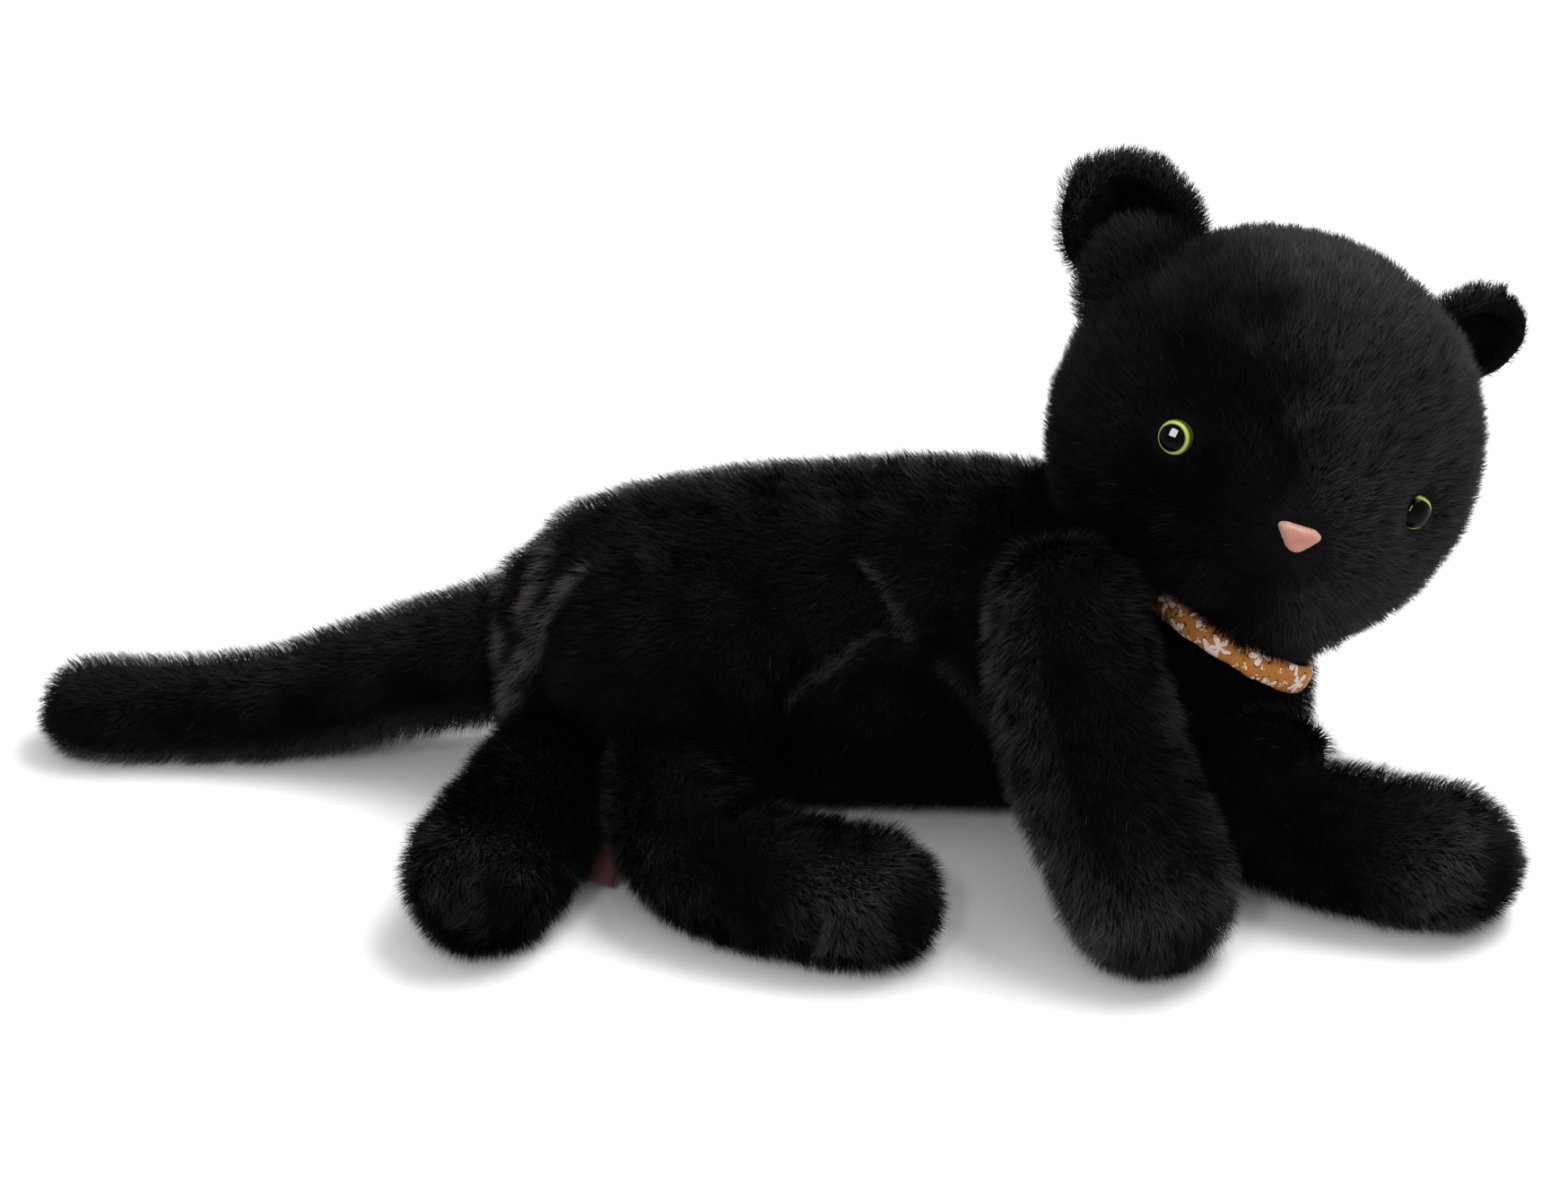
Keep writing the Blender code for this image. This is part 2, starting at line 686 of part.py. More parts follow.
def band_mesh(name, inset, first_deg, last_deg, steps, closed_ends=True):
    """An oval section spun round the neck from one angle to another, counted from the nape."""
    back = (COLLAR_NAPE - TURN_AXIS * COLLAR_NAPE.dot(TURN_AXIS)).normalized()
    place = axes(-back, TURN_AXIS, NECK_CENTRE)
    sides = 8
    form = bmesh.new()
    ring = []
    for i in range(sides):
        turn = 2 * math.pi * i / sides
        out = COLLAR_RADIUS + (COLLAR_HALF_THICKNESS - inset) * math.cos(turn)
        ring.append(form.verts.new((0, out, (COLLAR_HALF_WIDTH - inset) * math.sin(turn))))
    edges = [form.edges.new(pair) for pair in zip(ring, ring[1:] + ring[:1])]
    start = Matrix.Rotation(math.radians(first_deg), 3, "Z")
    bmesh.ops.rotate(form, cent=(0, 0, 0), matrix=start, verts=form.verts)
    done = bmesh.ops.spin(
        form, geom=ring + edges, cent=(0, 0, 0), axis=(0, 0, 1),
        angle=math.radians(last_deg - first_deg), steps=steps,
    )
    if closed_ends:
        last = [g for g in done["geom_last"] if isinstance(g, bmesh.types.BMEdge)]
        bmesh.ops.contextual_create(form, geom=edges)
        bmesh.ops.contextual_create(form, geom=last)
    bmesh.ops.recalc_face_normals(form, faces=form.faces)
    bmesh.ops.transform(form, matrix=place, verts=form.verts)
    mesh = bpy.data.meshes.new(name)
    form.to_mesh(mesh)
    form.free()
    return mesh


start, end = COLLAR_JOINT_DEG / 2, 360 - COLLAR_JOINT_DEG / 2
band = band_mesh("band", 0, start, end, steps=22, closed_ends=False)
add_cloth(part("collar_band", band, "collar_cotton"), COLLAR_CLOTH)
part("collar_filler", band_mesh("filler", COLLAR_CLOTH + GAP, start, end, steps=22), "stuffing")
joint_end = start - math.degrees(GAP / COLLAR_RADIUS)
part("collar_joint", band_mesh("joint", 0, -joint_end, joint_end, steps=3), "collar_cotton")


# Label: a folded ribbon caught in the seam between the hind legs
label_axes = axes(LABEL_TIP_WAY, Vector((0, 0, 1)), LABEL_ROOT)
form = bmesh.new()
bmesh.ops.create_cube(form, size=1)
bmesh.ops.scale(form, vec=(LABEL_WIDTH, LABEL_LENGTH, LABEL_THICKNESS), verts=form.verts)
bmesh.ops.translate(form, vec=(0, -LABEL_LENGTH / 2, 0), verts=form.verts)
bmesh.ops.transform(form, matrix=label_axes, verts=form.verts)
label = bpy.data.meshes.new("label")
form.to_mesh(label)
form.free()
part("ribbon_label", label, "label_ribbon")
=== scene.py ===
"""A black long-pile plush cat lying on its left side, with its head raised toward the viewer."""
import json
import math
import bmesh
import bpy
import numpy as np
from mathutils import Matrix, Vector
from mathutils.bvhtree import BVHTree


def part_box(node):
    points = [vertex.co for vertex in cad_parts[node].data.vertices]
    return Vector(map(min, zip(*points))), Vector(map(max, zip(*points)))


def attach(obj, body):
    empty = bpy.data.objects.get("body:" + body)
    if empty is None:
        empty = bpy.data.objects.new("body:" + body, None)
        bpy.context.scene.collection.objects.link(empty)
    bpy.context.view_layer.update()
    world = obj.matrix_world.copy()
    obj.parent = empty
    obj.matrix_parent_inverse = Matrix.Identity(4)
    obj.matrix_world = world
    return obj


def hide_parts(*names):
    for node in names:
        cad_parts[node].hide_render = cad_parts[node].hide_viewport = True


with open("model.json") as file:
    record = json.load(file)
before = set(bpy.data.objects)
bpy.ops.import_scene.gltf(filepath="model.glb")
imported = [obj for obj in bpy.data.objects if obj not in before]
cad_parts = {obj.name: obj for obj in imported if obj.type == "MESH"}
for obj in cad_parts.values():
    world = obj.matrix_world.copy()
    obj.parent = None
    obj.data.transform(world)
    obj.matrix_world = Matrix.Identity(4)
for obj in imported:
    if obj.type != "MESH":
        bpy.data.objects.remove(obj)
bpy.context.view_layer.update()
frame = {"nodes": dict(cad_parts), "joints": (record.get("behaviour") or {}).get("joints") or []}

# Studio. A pale paper floor under a white sky, a wide soft light overhead at the right, a small
# window light at the left, and a long lens 30 degrees above the toy's middle.
MIDDLE = Vector((0.0, -0.020, 0.0704))
CAMERA_AWAY = 1.110
CAMERA_HEIGHT_DEG = 30.0
FLOOR_HALF = 6.0


def linear(code):
    """An sRGB hex colour as linear RGB."""
    parts = [int(code[i : i + 2], 16) / 255 for i in (1, 3, 5)]
    return tuple(p / 12.92 if p <= 0.04045 else ((p + 0.055) / 1.055) ** 2.4 for p in parts)


def add_node(material, kind, settings=None, links=None):
    """A node with its settings, and its inputs' values and links by name, or by number in a sum."""
    tree = material.node_tree
    node = tree.nodes.new(kind)
    for name, value in (settings or {}).items():
        if isinstance(name, int) or name in node.inputs:
            node.inputs[name].default_value = value
        else:
            setattr(node, name, value)
    for name, output in (links or {}).items():
        tree.links.new(output, node.inputs[name])
    return node


def new_material(name, colour, roughness, finish=None):
    """A Principled material, with what is the same all over set on the shader's own sockets."""
    material = bpy.data.materials.new(name)
    material.use_nodes = True
    shader = material.node_tree.nodes["Principled BSDF"]
    shader.inputs["Base Color"].default_value = (*linear(colour), 1)
    shader.inputs["Roughness"].default_value = roughness
    for socket, value in (finish or {}).items():
        shader.inputs[socket].default_value = value
    return material, shader


def joined(material, shader, socket, output):
    material.node_tree.links.new(output, shader.inputs[socket])


def place_light(name, place, aim, size, watts):
    """A soft rectangular light that faces a point."""
    lamp = bpy.data.lights.new(name, "AREA")
    lamp.shape = "RECTANGLE"
    lamp.size, lamp.size_y = size
    lamp.energy = watts
    light = bpy.data.objects.new(name, lamp)
    bpy.context.scene.collection.objects.link(light)
    light.location = place
    light.rotation_euler = (Vector(aim) - Vector(place)).to_track_quat("-Z", "Y").to_euler()
    return light


world = bpy.data.worlds.new("studio")
bpy.context.scene.world = world
world.use_nodes = True
sky = world.node_tree.nodes["Background"]
sky.inputs["Color"].default_value = (1, 1, 1, 1)
sky.inputs["Strength"].default_value = 0.80
bpy.context.scene.view_settings.view_transform = "Standard"

form = bmesh.new()
bmesh.ops.create_grid(form, x_segments=1, y_segments=1, size=FLOOR_HALF)
floor_mesh = bpy.data.meshes.new("floor")
form.to_mesh(floor_mesh)
form.free()
floor = bpy.data.objects.new("floor", floor_mesh)
bpy.context.scene.collection.objects.link(floor)
paper, paper_shader = new_material("seamless_paper", "#F4F4F4", 0.9, {"Specular IOR Level": 0.1})
grain = add_node(paper, "ShaderNodeTexNoise", {"Scale": 400.0, "Detail": 3.0})  # 2.5 mm flecks
bump = add_node(
    paper, "ShaderNodeBump", {"Strength": 0.05, "Distance": 0.0002}, {"Height": grain.outputs["Fac"]}
)
joined(paper, paper_shader, "Normal", bump.outputs["Normal"])
floor.data.materials.append(paper)

place_light("overhead", (0.45, 0.25, 1.10), (0.05, 0.0, 0.05), (0.9, 0.6), 16.0)
place_light("window_left", (-0.30, -0.95, 0.95), (0.12, 0.0, 0.10), (0.10, 0.12), 2.2)

camera_data = bpy.data.cameras.new("camera")
camera_data.lens = 85.0
camera_data.sensor_width = 36.0
camera = bpy.data.objects.new("camera", camera_data)
bpy.context.scene.collection.objects.link(camera)
tilt = math.radians(CAMERA_HEIGHT_DEG)
camera.location = MIDDLE + CAMERA_AWAY * Vector((0, -math.cos(tilt), math.sin(tilt)))
camera.rotation_euler = (math.radians(90) - tilt, 0, 0)
bpy.context.scene.camera = camera

# Torso and right thigh. One knitted backing cloth filled tight with fibre, the thigh a padded
# bulge sewn on its upper side, and cut pile brushed from the chest to the rump.
PILE_MAT = 0.0012  # depth of the matted fibre at the roots
PILE_LENGTH = 0.0088
PILE_ROOT = 0.0016  # how far a tuft starts below the mat's top
PILE_DENSITY = 3.1e6  # tufts per square metre
PILE_WIDTH = 0.00025  # a tuft of some 10 fibres, so that it shows
MOST_TUFTS = 64000  # in one piece, which keeps it under 200,000 triangles
LOCK, SMALL_LOCK = 0.011, 0.0042  # how wide a patch of pile bends together
SEAM_GAP = 0.0012  # no tuft grows nearer than this to another part's form
LINE_STEPS = 12


def swell(form, place, radii):
    """Adds an egg of stuffing to a form before it is closed over."""
    bmesh.ops.create_icosphere(
        form, subdivisions=3, radius=1.0, matrix=Matrix.Translation(place) @ Matrix.Diagonal((*radii, 1))
    )


def stuffed_form(name, nodes, voxel, smooth, swells):
    """The closed outer form of a stuffed part: its solids taken as one, the gaps between closed."""
    form = bmesh.new()
    for node in nodes:
        form.from_mesh(frame["nodes"][node].data)
    bmesh.ops.remove_doubles(form, verts=form.verts, dist=1e-6)
    for place, radii in swells:
        swell(form, place, radii)
    rough = bpy.data.meshes.new(name)
    form.to_mesh(rough)
    form.free()
    piece = bpy.data.objects.new(name, rough)
    bpy.context.scene.collection.objects.link(piece)
    remesh = piece.modifiers.new("remesh", "REMESH")
    remesh.mode = "VOXEL"
    remesh.voxel_size = voxel
    relax = piece.modifiers.new("relax", "SMOOTH")
    relax.iterations = smooth
    graph = bpy.context.evaluated_depsgraph_get()
    mesh = bpy.data.meshes.new_from_object(piece.evaluated_get(graph))
    piece.modifiers.clear()
    form = bmesh.new()
    form.from_mesh(mesh)
    outside = max(form.verts, key=lambda v: v.co.z)
    shell, front = {outside}, [outside]
    while front:
        reached = {e.other_vert(v) for v in front for e in v.link_edges} - shell
        shell |= reached
        front = list(reached)
    bmesh.ops.delete(form, geom=[v for v in form.verts if v not in shell], context="VERTS")
    for vertex in form.verts:
        vertex.normal_update()
    for vertex in form.verts:
        vertex.co += vertex.normal * PILE_MAT
        vertex.co.z = max(vertex.co.z, 0.0)
    form.to_mesh(mesh)
    form.free()
    mesh.shade_smooth()
    piece.data = mesh
    return piece


def near_line(points, line, tree, width):
    """How near points are to a line laid on a form, from 1 on it down to 0. The line's corners are
    shares of the torso's box."""
    low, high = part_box("torso_skin")
    corners = [Vector(low[i] + share[i] * (high[i] - low[i]) for i in range(3)) for share in line]
    nearest = np.full(len(points), np.inf)
    for first, second in zip(corners, corners[1:]):
        for step in range(LINE_STEPS + 1):
            spot = np.array(tree.find_nearest(first.lerp(second, step / LINE_STEPS))[0])
            nearest = np.minimum(nearest, np.linalg.norm(points - spot, axis=1))
    return np.exp(-((nearest / width) ** 2))


def fold(piece, line, height, width):
    """Raises a ridge, or presses a crease, along a line."""
    co = np.array([v.co for v in piece.data.vertices])
    normal = np.array([v.normal for v in piece.data.vertices])
    rise = near_line(co, line, tree_of(piece.data), width)
    co += normal * (height * rise)[:, None]
    co[:, 2] = np.maximum(co[:, 2], 0.0)
    piece.data.vertices.foreach_set("co", co.reshape(-1))
    piece.data.update()


def surface_of(piece):
    """Corner places, corner normals and areas of a form's triangles."""
    mesh = piece.data
    mesh.calc_loop_triangles()
    co = np.empty(len(mesh.vertices) * 3)
    mesh.vertices.foreach_get("co", co)
    normal = np.empty(len(mesh.vertices) * 3)
    mesh.vertices.foreach_get("normal", normal)
    tri = np.empty(len(mesh.loop_triangles) * 3, np.int64)
    mesh.loop_triangles.foreach_get("vertices", tri)
    tri = tri.reshape(-1, 3)
    corners, normals = co.reshape(-1, 3)[tri], normal.reshape(-1, 3)[tri]
    edge_a, edge_b = corners[:, 1] - corners[:, 0], corners[:, 2] - corners[:, 0]
    return corners, normals, np.linalg.norm(np.cross(edge_a, edge_b), axis=1) / 2


def unit(vectors):
    return vectors / np.maximum(np.linalg.norm(vectors, axis=1, keepdims=True), 1e-9)


def soft_noise(points, scale, seed):
    """Smooth noise from a sum of waves, about -1 to 1, whose bumps are about scale across."""
    random = np.random.default_rng(seed)
    total = np.zeros(len(points))
    for _ in range(9):
        way = random.normal(size=3)
        way *= 2 * math.pi / (scale * 1.6) / np.linalg.norm(way) * random.uniform(0.6, 1.5)
        total += np.sin(points @ way + random.uniform(0, 2 * math.pi))
    return total / 4.2


forms = {}  # each part's form as a search tree with its box, so that no tuft grows where parts meet


def covered(points, part, within):
    """Which points lie inside another part's form, or nearer to it than this."""
    hidden = np.zeros(len(points), bool)
    for other, (tree, low, high) in forms.items():
        if other == part:
            continue
        near = ((points > low - within) & (points < high + within)).all(1) & ~hidden
        for i in np.flatnonzero(near):
            place, normal, _, away = tree.find_nearest(points[i])
            hidden[i] = away < within or (Vector(points[i]) - place).dot(normal) < 0
    return hidden


def grow_pile(
    name, part, body, flow, seed, tone, length=None, keep=None, share=1.0, brushed=0.55
):
    """Cut pile on a form: flat tapered tufts that lean along the nap, in pieces of MOST_TUFTS at most.
    flow, tone, length and keep each give a value for every root, from its place and normal."""
    random = np.random.default_rng(seed)
    corners, normals, areas = surface_of(cloths[part])
    count = int(areas.sum() * PILE_DENSITY * share)
    chosen = np.searchsorted(np.cumsum(areas), random.random(count) * areas.sum())
    chosen = np.minimum(chosen, len(areas) - 1)
    first, second = random.random((2, count, 1))
    over = first + second > 1
    first, second = np.where(over, 1 - first, first), np.where(over, 1 - second, second)
    mix = np.stack([1 - first - second, first, second], 1)
    root = (corners[chosen] * mix).sum(1)
    normal = unit((normals[chosen] * mix).sum(1))
    good = ~covered(root + normal * 0.0015, part, SEAM_GAP)
    if keep is not None:
        good &= keep(root, normal)
    root, normal = root[good], normal[good]
    count = len(root)
    nap = flow(root, normal)
    nap = unit(nap - normal * (nap * normal).sum(1, keepdims=True))
    # Neighbouring tufts bend together in locks a few millimetres across.
    side = np.cross(normal, nap)
    lock = soft_noise(root, LOCK, seed + 1)[:, None]
    fine = soft_noise(root, SMALL_LOCK, seed + 2)[:, None]
    nap = unit(nap + side * (0.40 * lock + 0.30 * fine) + side * random.normal(0, 0.30, (count, 1)))
    reach = length(root, normal) if length else np.full(count, PILE_LENGTH)
    reach = reach * random.uniform(0.72, 1.12, count) * (1 + 0.10 * soft_noise(root, 0.006, seed + 3))
    lift = 0.62 + 0.20 * soft_noise(root, 0.008, seed + 4) + random.normal(0, 0.13, count)
    lift, reach = np.clip(lift, 0.2, 1.1)[:, None], reach[:, None]
    start = root - normal * PILE_ROOT
    bend = start + unit(normal * (lift + 0.7) + nap * 0.6 * brushed) * reach * 0.5
    scatter = random.normal(0, 0.13, (count, 3))
    tip = bend + unit(normal * (lift + 0.15) + nap * 1.15 * brushed + scatter) * reach * 0.5
    tip[:, 2] = np.maximum(tip[:, 2], 0.0004)  # the floor holds the pile up
    bend[:, 2] = np.maximum(bend[:, 2], 0.0003)
    start[:, 2] = np.maximum(start[:, 2], 0.0003)
    across = np.cross(tip - start, normal)
    turn = random.normal(0, 0.45, (count, 1))
    across = unit(unit(across) + normal * turn) * PILE_WIDTH * random.uniform(0.7, 1.3, (count, 1))
    tones = np.clip(tone(root, normal), 0, 1)
    # A few random tufts get a painted glint: their tone is raised as if stray fibres caught the light.
    stray = random.random(count) < 0.003  # a few fibres lie across and shine
    tones = np.clip(tones * random.normal(1, 0.35, count) + 0.5 * stray, 0, 1)
    order = np.argsort(root[:, 0])
    pieces = max(1, math.ceil(count / MOST_TUFTS))
    for number, some in enumerate(np.array_split(order, pieces), 1):
        add_tufts(
            name if pieces == 1 else f"{name}_{number}", body,
            (start[some], bend[some], tip[some], across[some]), normal[some], tones[some],
        )


def add_tufts(name, body, blades, normal, tones):
    """One piece of pile. Each tuft is a tapered blade of two faces with its own place on the map."""
    start, bend, tip, across = blades
    count = len(start)
    points = np.stack(
        [start - across / 2, start + across / 2, bend + across * 0.38, bend - across * 0.38, tip], 1
    )
    mesh = bpy.data.meshes.new(name)
    mesh.vertices.add(5 * count)
    mesh.vertices.foreach_set("co", points.reshape(-1))
    corner = np.array([0, 1, 2, 3, 3, 2, 4])
    mesh.loops.add(7 * count)
    index = (np.arange(count)[:, None] * 5 + corner).reshape(-1)
    mesh.loops.foreach_set("vertex_index", index.astype(np.int32))
    mesh.polygons.add(2 * count)
    starts = (np.arange(count)[:, None] * 7 + np.array([0, 4])).reshape(-1)
    mesh.polygons.foreach_set("loop_start", starts.astype(np.int32))
    mesh.update(calc_edges=True)
    grid = math.ceil(math.sqrt(count))
    cell = np.stack([np.arange(count) % grid, np.arange(count) // grid], 1)[:, None, :]
    inside = np.array([[0.15, 0.08], [0.85, 0.08], [0.75, 0.5], [0.25, 0.5], [0.5, 0.95]])
    places = ((cell + inside[None]) / grid)[:, corner]
    mesh.uv_layers.new(name="OFBake").data.foreach_set("uv", places.reshape(-1))
    along = np.tile(np.array([0.0, 0.0, 0.5, 0.5, 1.0]), count)
    for attribute, values in (("along", along), ("tone", np.repeat(tones, 5))):
        layer = mesh.attributes.new(attribute, "FLOAT", "POINT")
        layer.data.foreach_set("value", values.astype(np.float32))
    blade = unit(np.cross(across, tip - start))
    blade *= np.sign((blade * normal).sum(1, keepdims=True) + 1e-9)
    soft = unit(blade * 0.55 + normal * 0.45)
    mesh.normals_split_custom_set_from_vertices(np.repeat(soft, 5, axis=0))
    tufts = bpy.data.objects.new(name, mesh)
    bpy.context.scene.collection.objects.link(tufts)
    mesh.materials.append(pile)
    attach(tufts, body)


def backing_cloth(piece, body, *nodes):
    """Finishes a form as the knitted backing, which stands for the part's cloth solids."""
    piece.data.materials.clear()
    piece.data.materials.append(backing)
    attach(piece, body)
    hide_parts(*nodes)


# Knitted polyester backing: dull black, its ribs a millimetre apart, dark under the pile.
backing, backing_shader = new_material("knit_backing", "#060607", 0.95, {"Specular IOR Level": 0.1})
ribs = add_node(backing, "ShaderNodeTexNoise", {"Scale": 900.0, "Detail": 2.0})
rib_bump = add_node(
    backing, "ShaderNodeBump", {"Strength": 0.4, "Distance": 0.0004}, {"Height": ribs.outputs["Fac"]}
)
joined(backing, backing_shader, "Normal", rib_bump.outputs["Normal"])

# Cut acrylic pile: black fibre. The light that its ends catch is painted into its colour: a tuft pales
# toward its tip by its tone, a painted sheen laid where the light falls on the pile.
pile, pile_shader = new_material("acrylic_pile", "#060607", 0.55, {"Specular IOR Level": 0.035})
along_tuft = add_node(pile, "ShaderNodeAttribute", {"attribute_name": "along"})
tuft_tone = add_node(pile, "ShaderNodeAttribute", {"attribute_name": "tone"})
shades = []
# Each ramp runs from black at tone 0 to painted sheen at tone 1; the tip's ramp carries nearly all of it.
for dull, painted_sheen in (("#010102", "#060606"), ("#020202", "#625C5E")):
    ramp = add_node(pile, "ShaderNodeValToRGB", {}, {"Fac": tuft_tone.outputs["Fac"]})
    ramp.color_ramp.elements[0].color = (*linear(dull), 1)
    ramp.color_ramp.elements[1].color = (*linear(painted_sheen), 1)
    shades.append(ramp.outputs["Color"])
outer_half = add_node(
    pile, "ShaderNodeMapRange", {"From Min": 0.35, "From Max": 1.0}, {"Value": along_tuft.outputs["Fac"]}
)
fade = add_node(
    pile, "ShaderNodeMix", {"data_type": "RGBA"},
    {"Factor": outer_half.outputs["Result"], "A": shades[0], "B": shades[1]},
)
joined(pile, pile_shader, "Base Color", fade.outputs["Result"])

turn_joint = next(j for j in frame["joints"] if j["name"] == "head_turn")
nod_joint = next(j for j in frame["joints"] if j["name"] == "head_nod")
head_up = Vector(turn_joint["axis"]).normalized()
head_side = Vector(nod_joint["axis"]).normalized()
head_facing = head_side.cross(head_up)


def centre(node):
    low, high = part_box(node)
    return (low + high) / 2


def one_way(vector):
    """A nap brushed one way all over."""
    return lambda root, normal: np.tile(np.array(vector, float), (len(root), 1))


def tree_of(mesh):
    """A search tree of a mesh's surface."""
    form = bmesh.new()
    form.from_mesh(mesh)
    tree = BVHTree.FromBMesh(form)
    form.free()
    return tree


LEGS = ("fore_leg_right", "fore_leg_left", "hind_leg_right", "hind_leg_left")
# Every form is closed before any pile grows, because each part's pile stops where its neighbours
# begin. A form takes in its filling too, so that nothing inside it stays open.
solids = {
    "torso": (
        "torso_skin", "torso_stuffing", "belly_pellet_bag", "thigh_right_skin", "thigh_right_stuffing"
    ),
    "head": (
        "head_skin", "head_stuffing",
        "eye_left_stem", "eye_left_washer", "eye_right_stem", "eye_right_washer",
    ),
    "ear_left": ("ear_left_back", "ear_left_lining"),
    "ear_right": ("ear_right_back", "ear_right_lining"),
    "tail": ("tail_skin", "tail_stuffing"),
}
for leg in LEGS:
    solids[leg] = (f"{leg}_skin", f"{leg}_stuffing", f"{leg}_pellets")
solids["neck"] = ("neck_wad",)
# Where the filling pushes the cloth out: the middle of each egg of it, and its radii.
head_centre = centre("head_skin")
chest = centre("collar_band") + Vector((0.020, -0.036, -0.028))
chin = head_centre - head_up * 0.034 + head_side * 0.014 + head_facing * 0.014
temple = centre("ear_right_back").lerp(head_centre, 0.38) - head_side * 0.014
ear_right_foot = centre("ear_right_back").lerp(head_centre, 0.26) - head_side * 0.003
ear_right_edge = centre("ear_right_back") - head_side * 0.013 - head_up * 0.003
ear_left_foot = centre("ear_left_back").lerp(head_centre, 0.30)
swells = {
    "torso": ((chest, (0.016, 0.012, 0.012)),),
    "ear_right": ((ear_right_edge, (0.0075, 0.0050, 0.0170)),),
    "head": (
        (chin, (0.025, 0.021, 0.020)), (temple, (0.0160, 0.0120, 0.0200)),
        (ear_right_foot, (0.0165, 0.0110, 0.0120)), (ear_left_foot, (0.0110, 0.0100, 0.0110)),
    ),
}
cloths = {}
for part, nodes in solids.items():
    voxel, smooth = (0.0013, 4) if part.startswith("ear") else (0.0022, 8)
    cloths[part] = stuffed_form(f"{part}_cloth", nodes, voxel, smooth, swells.get(part, ()))
# The left ear is sewn on a little smaller than its pattern, and nearer the head.
cloths["ear_left"].data.transform(
    Matrix.Translation(ear_left_foot) @ Matrix.Scale(0.87, 4)
    @ Matrix.Translation(-ear_left_foot - head_side * 0.002)
)
# The haunch's folds, the rump's roll and the creases across the belly, in shares of the torso's box.
RIDGES = (
    ((0.00, 0.55, 0.66), (0.03, 0.46, 0.62), (0.04, 0.36, 0.50)),
    ((0.10, 0.59, 0.78), (0.08, 0.42, 0.72), (0.06, 0.33, 0.63)),
    ((0.12, 0.33, 0.76), (0.05, 0.28, 0.53), (0.03, 0.28, 0.38)),
)
RUMP = ((0.06, 0.62, 0.86), (0.16, 0.60, 0.95), (0.30, 0.58, 1.00))
CREASES = (
    ((0.46, 0.22, 0.88), (0.49, 0.14, 0.82), (0.51, 0.08, 0.73)),
    ((0.47, 0.09, 0.73), (0.41, 0.05, 0.64), (0.36, 0.03, 0.54)),
    ((0.55, 0.04, 0.66), (0.58, 0.02, 0.58), (0.60, 0.01, 0.51)),
)
for line in RIDGES:
    fold(cloths["torso"], line, 0.0030, 0.0060)
fold(cloths["torso"], RUMP, 0.0034, 0.0200)
for line in CREASES:
    fold(cloths["torso"], line, -0.0028, 0.0050)
for part, piece in cloths.items():
    surface = np.array([v.co for v in piece.data.vertices])
    forms[part] = (tree_of(piece.data), surface.min(0), surface.max(0))

backing_cloth(
    cloths["torso"], "torso", "torso_skin", "torso_stuffing", "thigh_right_skin", "thigh_right_stuffing"
)


def skyward(normal, power):
    """How squarely a root faces up and a little back, toward the overhead light, 1 where it does and 0 at
    the side.
    """
    return np.clip(normal @ np.array([0.0, 0.40, 0.92]), 0, 1) ** power


def torso_tone(root, normal):
    """Painted sheen: palest along the folds, less along the creases, and over the back that faces the
    overhead light, with patches that differ at random.
    """
    ridge = np.zeros(len(root))
    for lines, strength, width in ((RIDGES, 1.15, 0.0029), (CREASES, 0.34, 0.0032)):
        for line in lines:
            ridge = np.maximum(ridge, strength * near_line(root, line, forms["torso"][0], width))
    patches = soft_noise(root * np.array([1.6, 1.0, 0.8]), 0.020, 11)
    return 0.020 + 0.03 * patches + (0.42 + 0.12 * patches) * skyward(normal, 7) + ridge


def off_floor(root, normal):
    """Leaves out the tufts that would lie flat between the cloth and the floor."""
    return (root[:, 2] > PILE_ROOT) | (normal[:, 2] > -0.75)


grow_pile(
    "torso_pile", "torso", "torso", one_way((-0.75, -0.30, -0.45)), 1, torso_tone, keep=off_floor
)

# Tail. A straight padded tube of the same cloth, sewn into the rump's seam, with the pile running
# to its tip.
def tail_tone(root, normal):
    # Painted light: the lower front side is paler as painted bounce light from the floor, the top as painted
    # sheen from the overhead light; the patches differ at random.
    under = np.clip(-normal[:, 2] - 0.1, 0, 1) * np.clip(-normal[:, 1], 0, 1)
    over = np.clip(normal[:, 2], 0, 1) ** 4
    return 0.03 + 0.04 * soft_noise(root, 0.014, 13) + 1.1 * under + 0.20 * over


backing_cloth(cloths["tail"], "tail", "tail_skin")
grow_pile("tail_pile", "tail", "tail", one_way((-0.9, -0.1, -0.3)), 2, tail_tone, keep=off_floor)

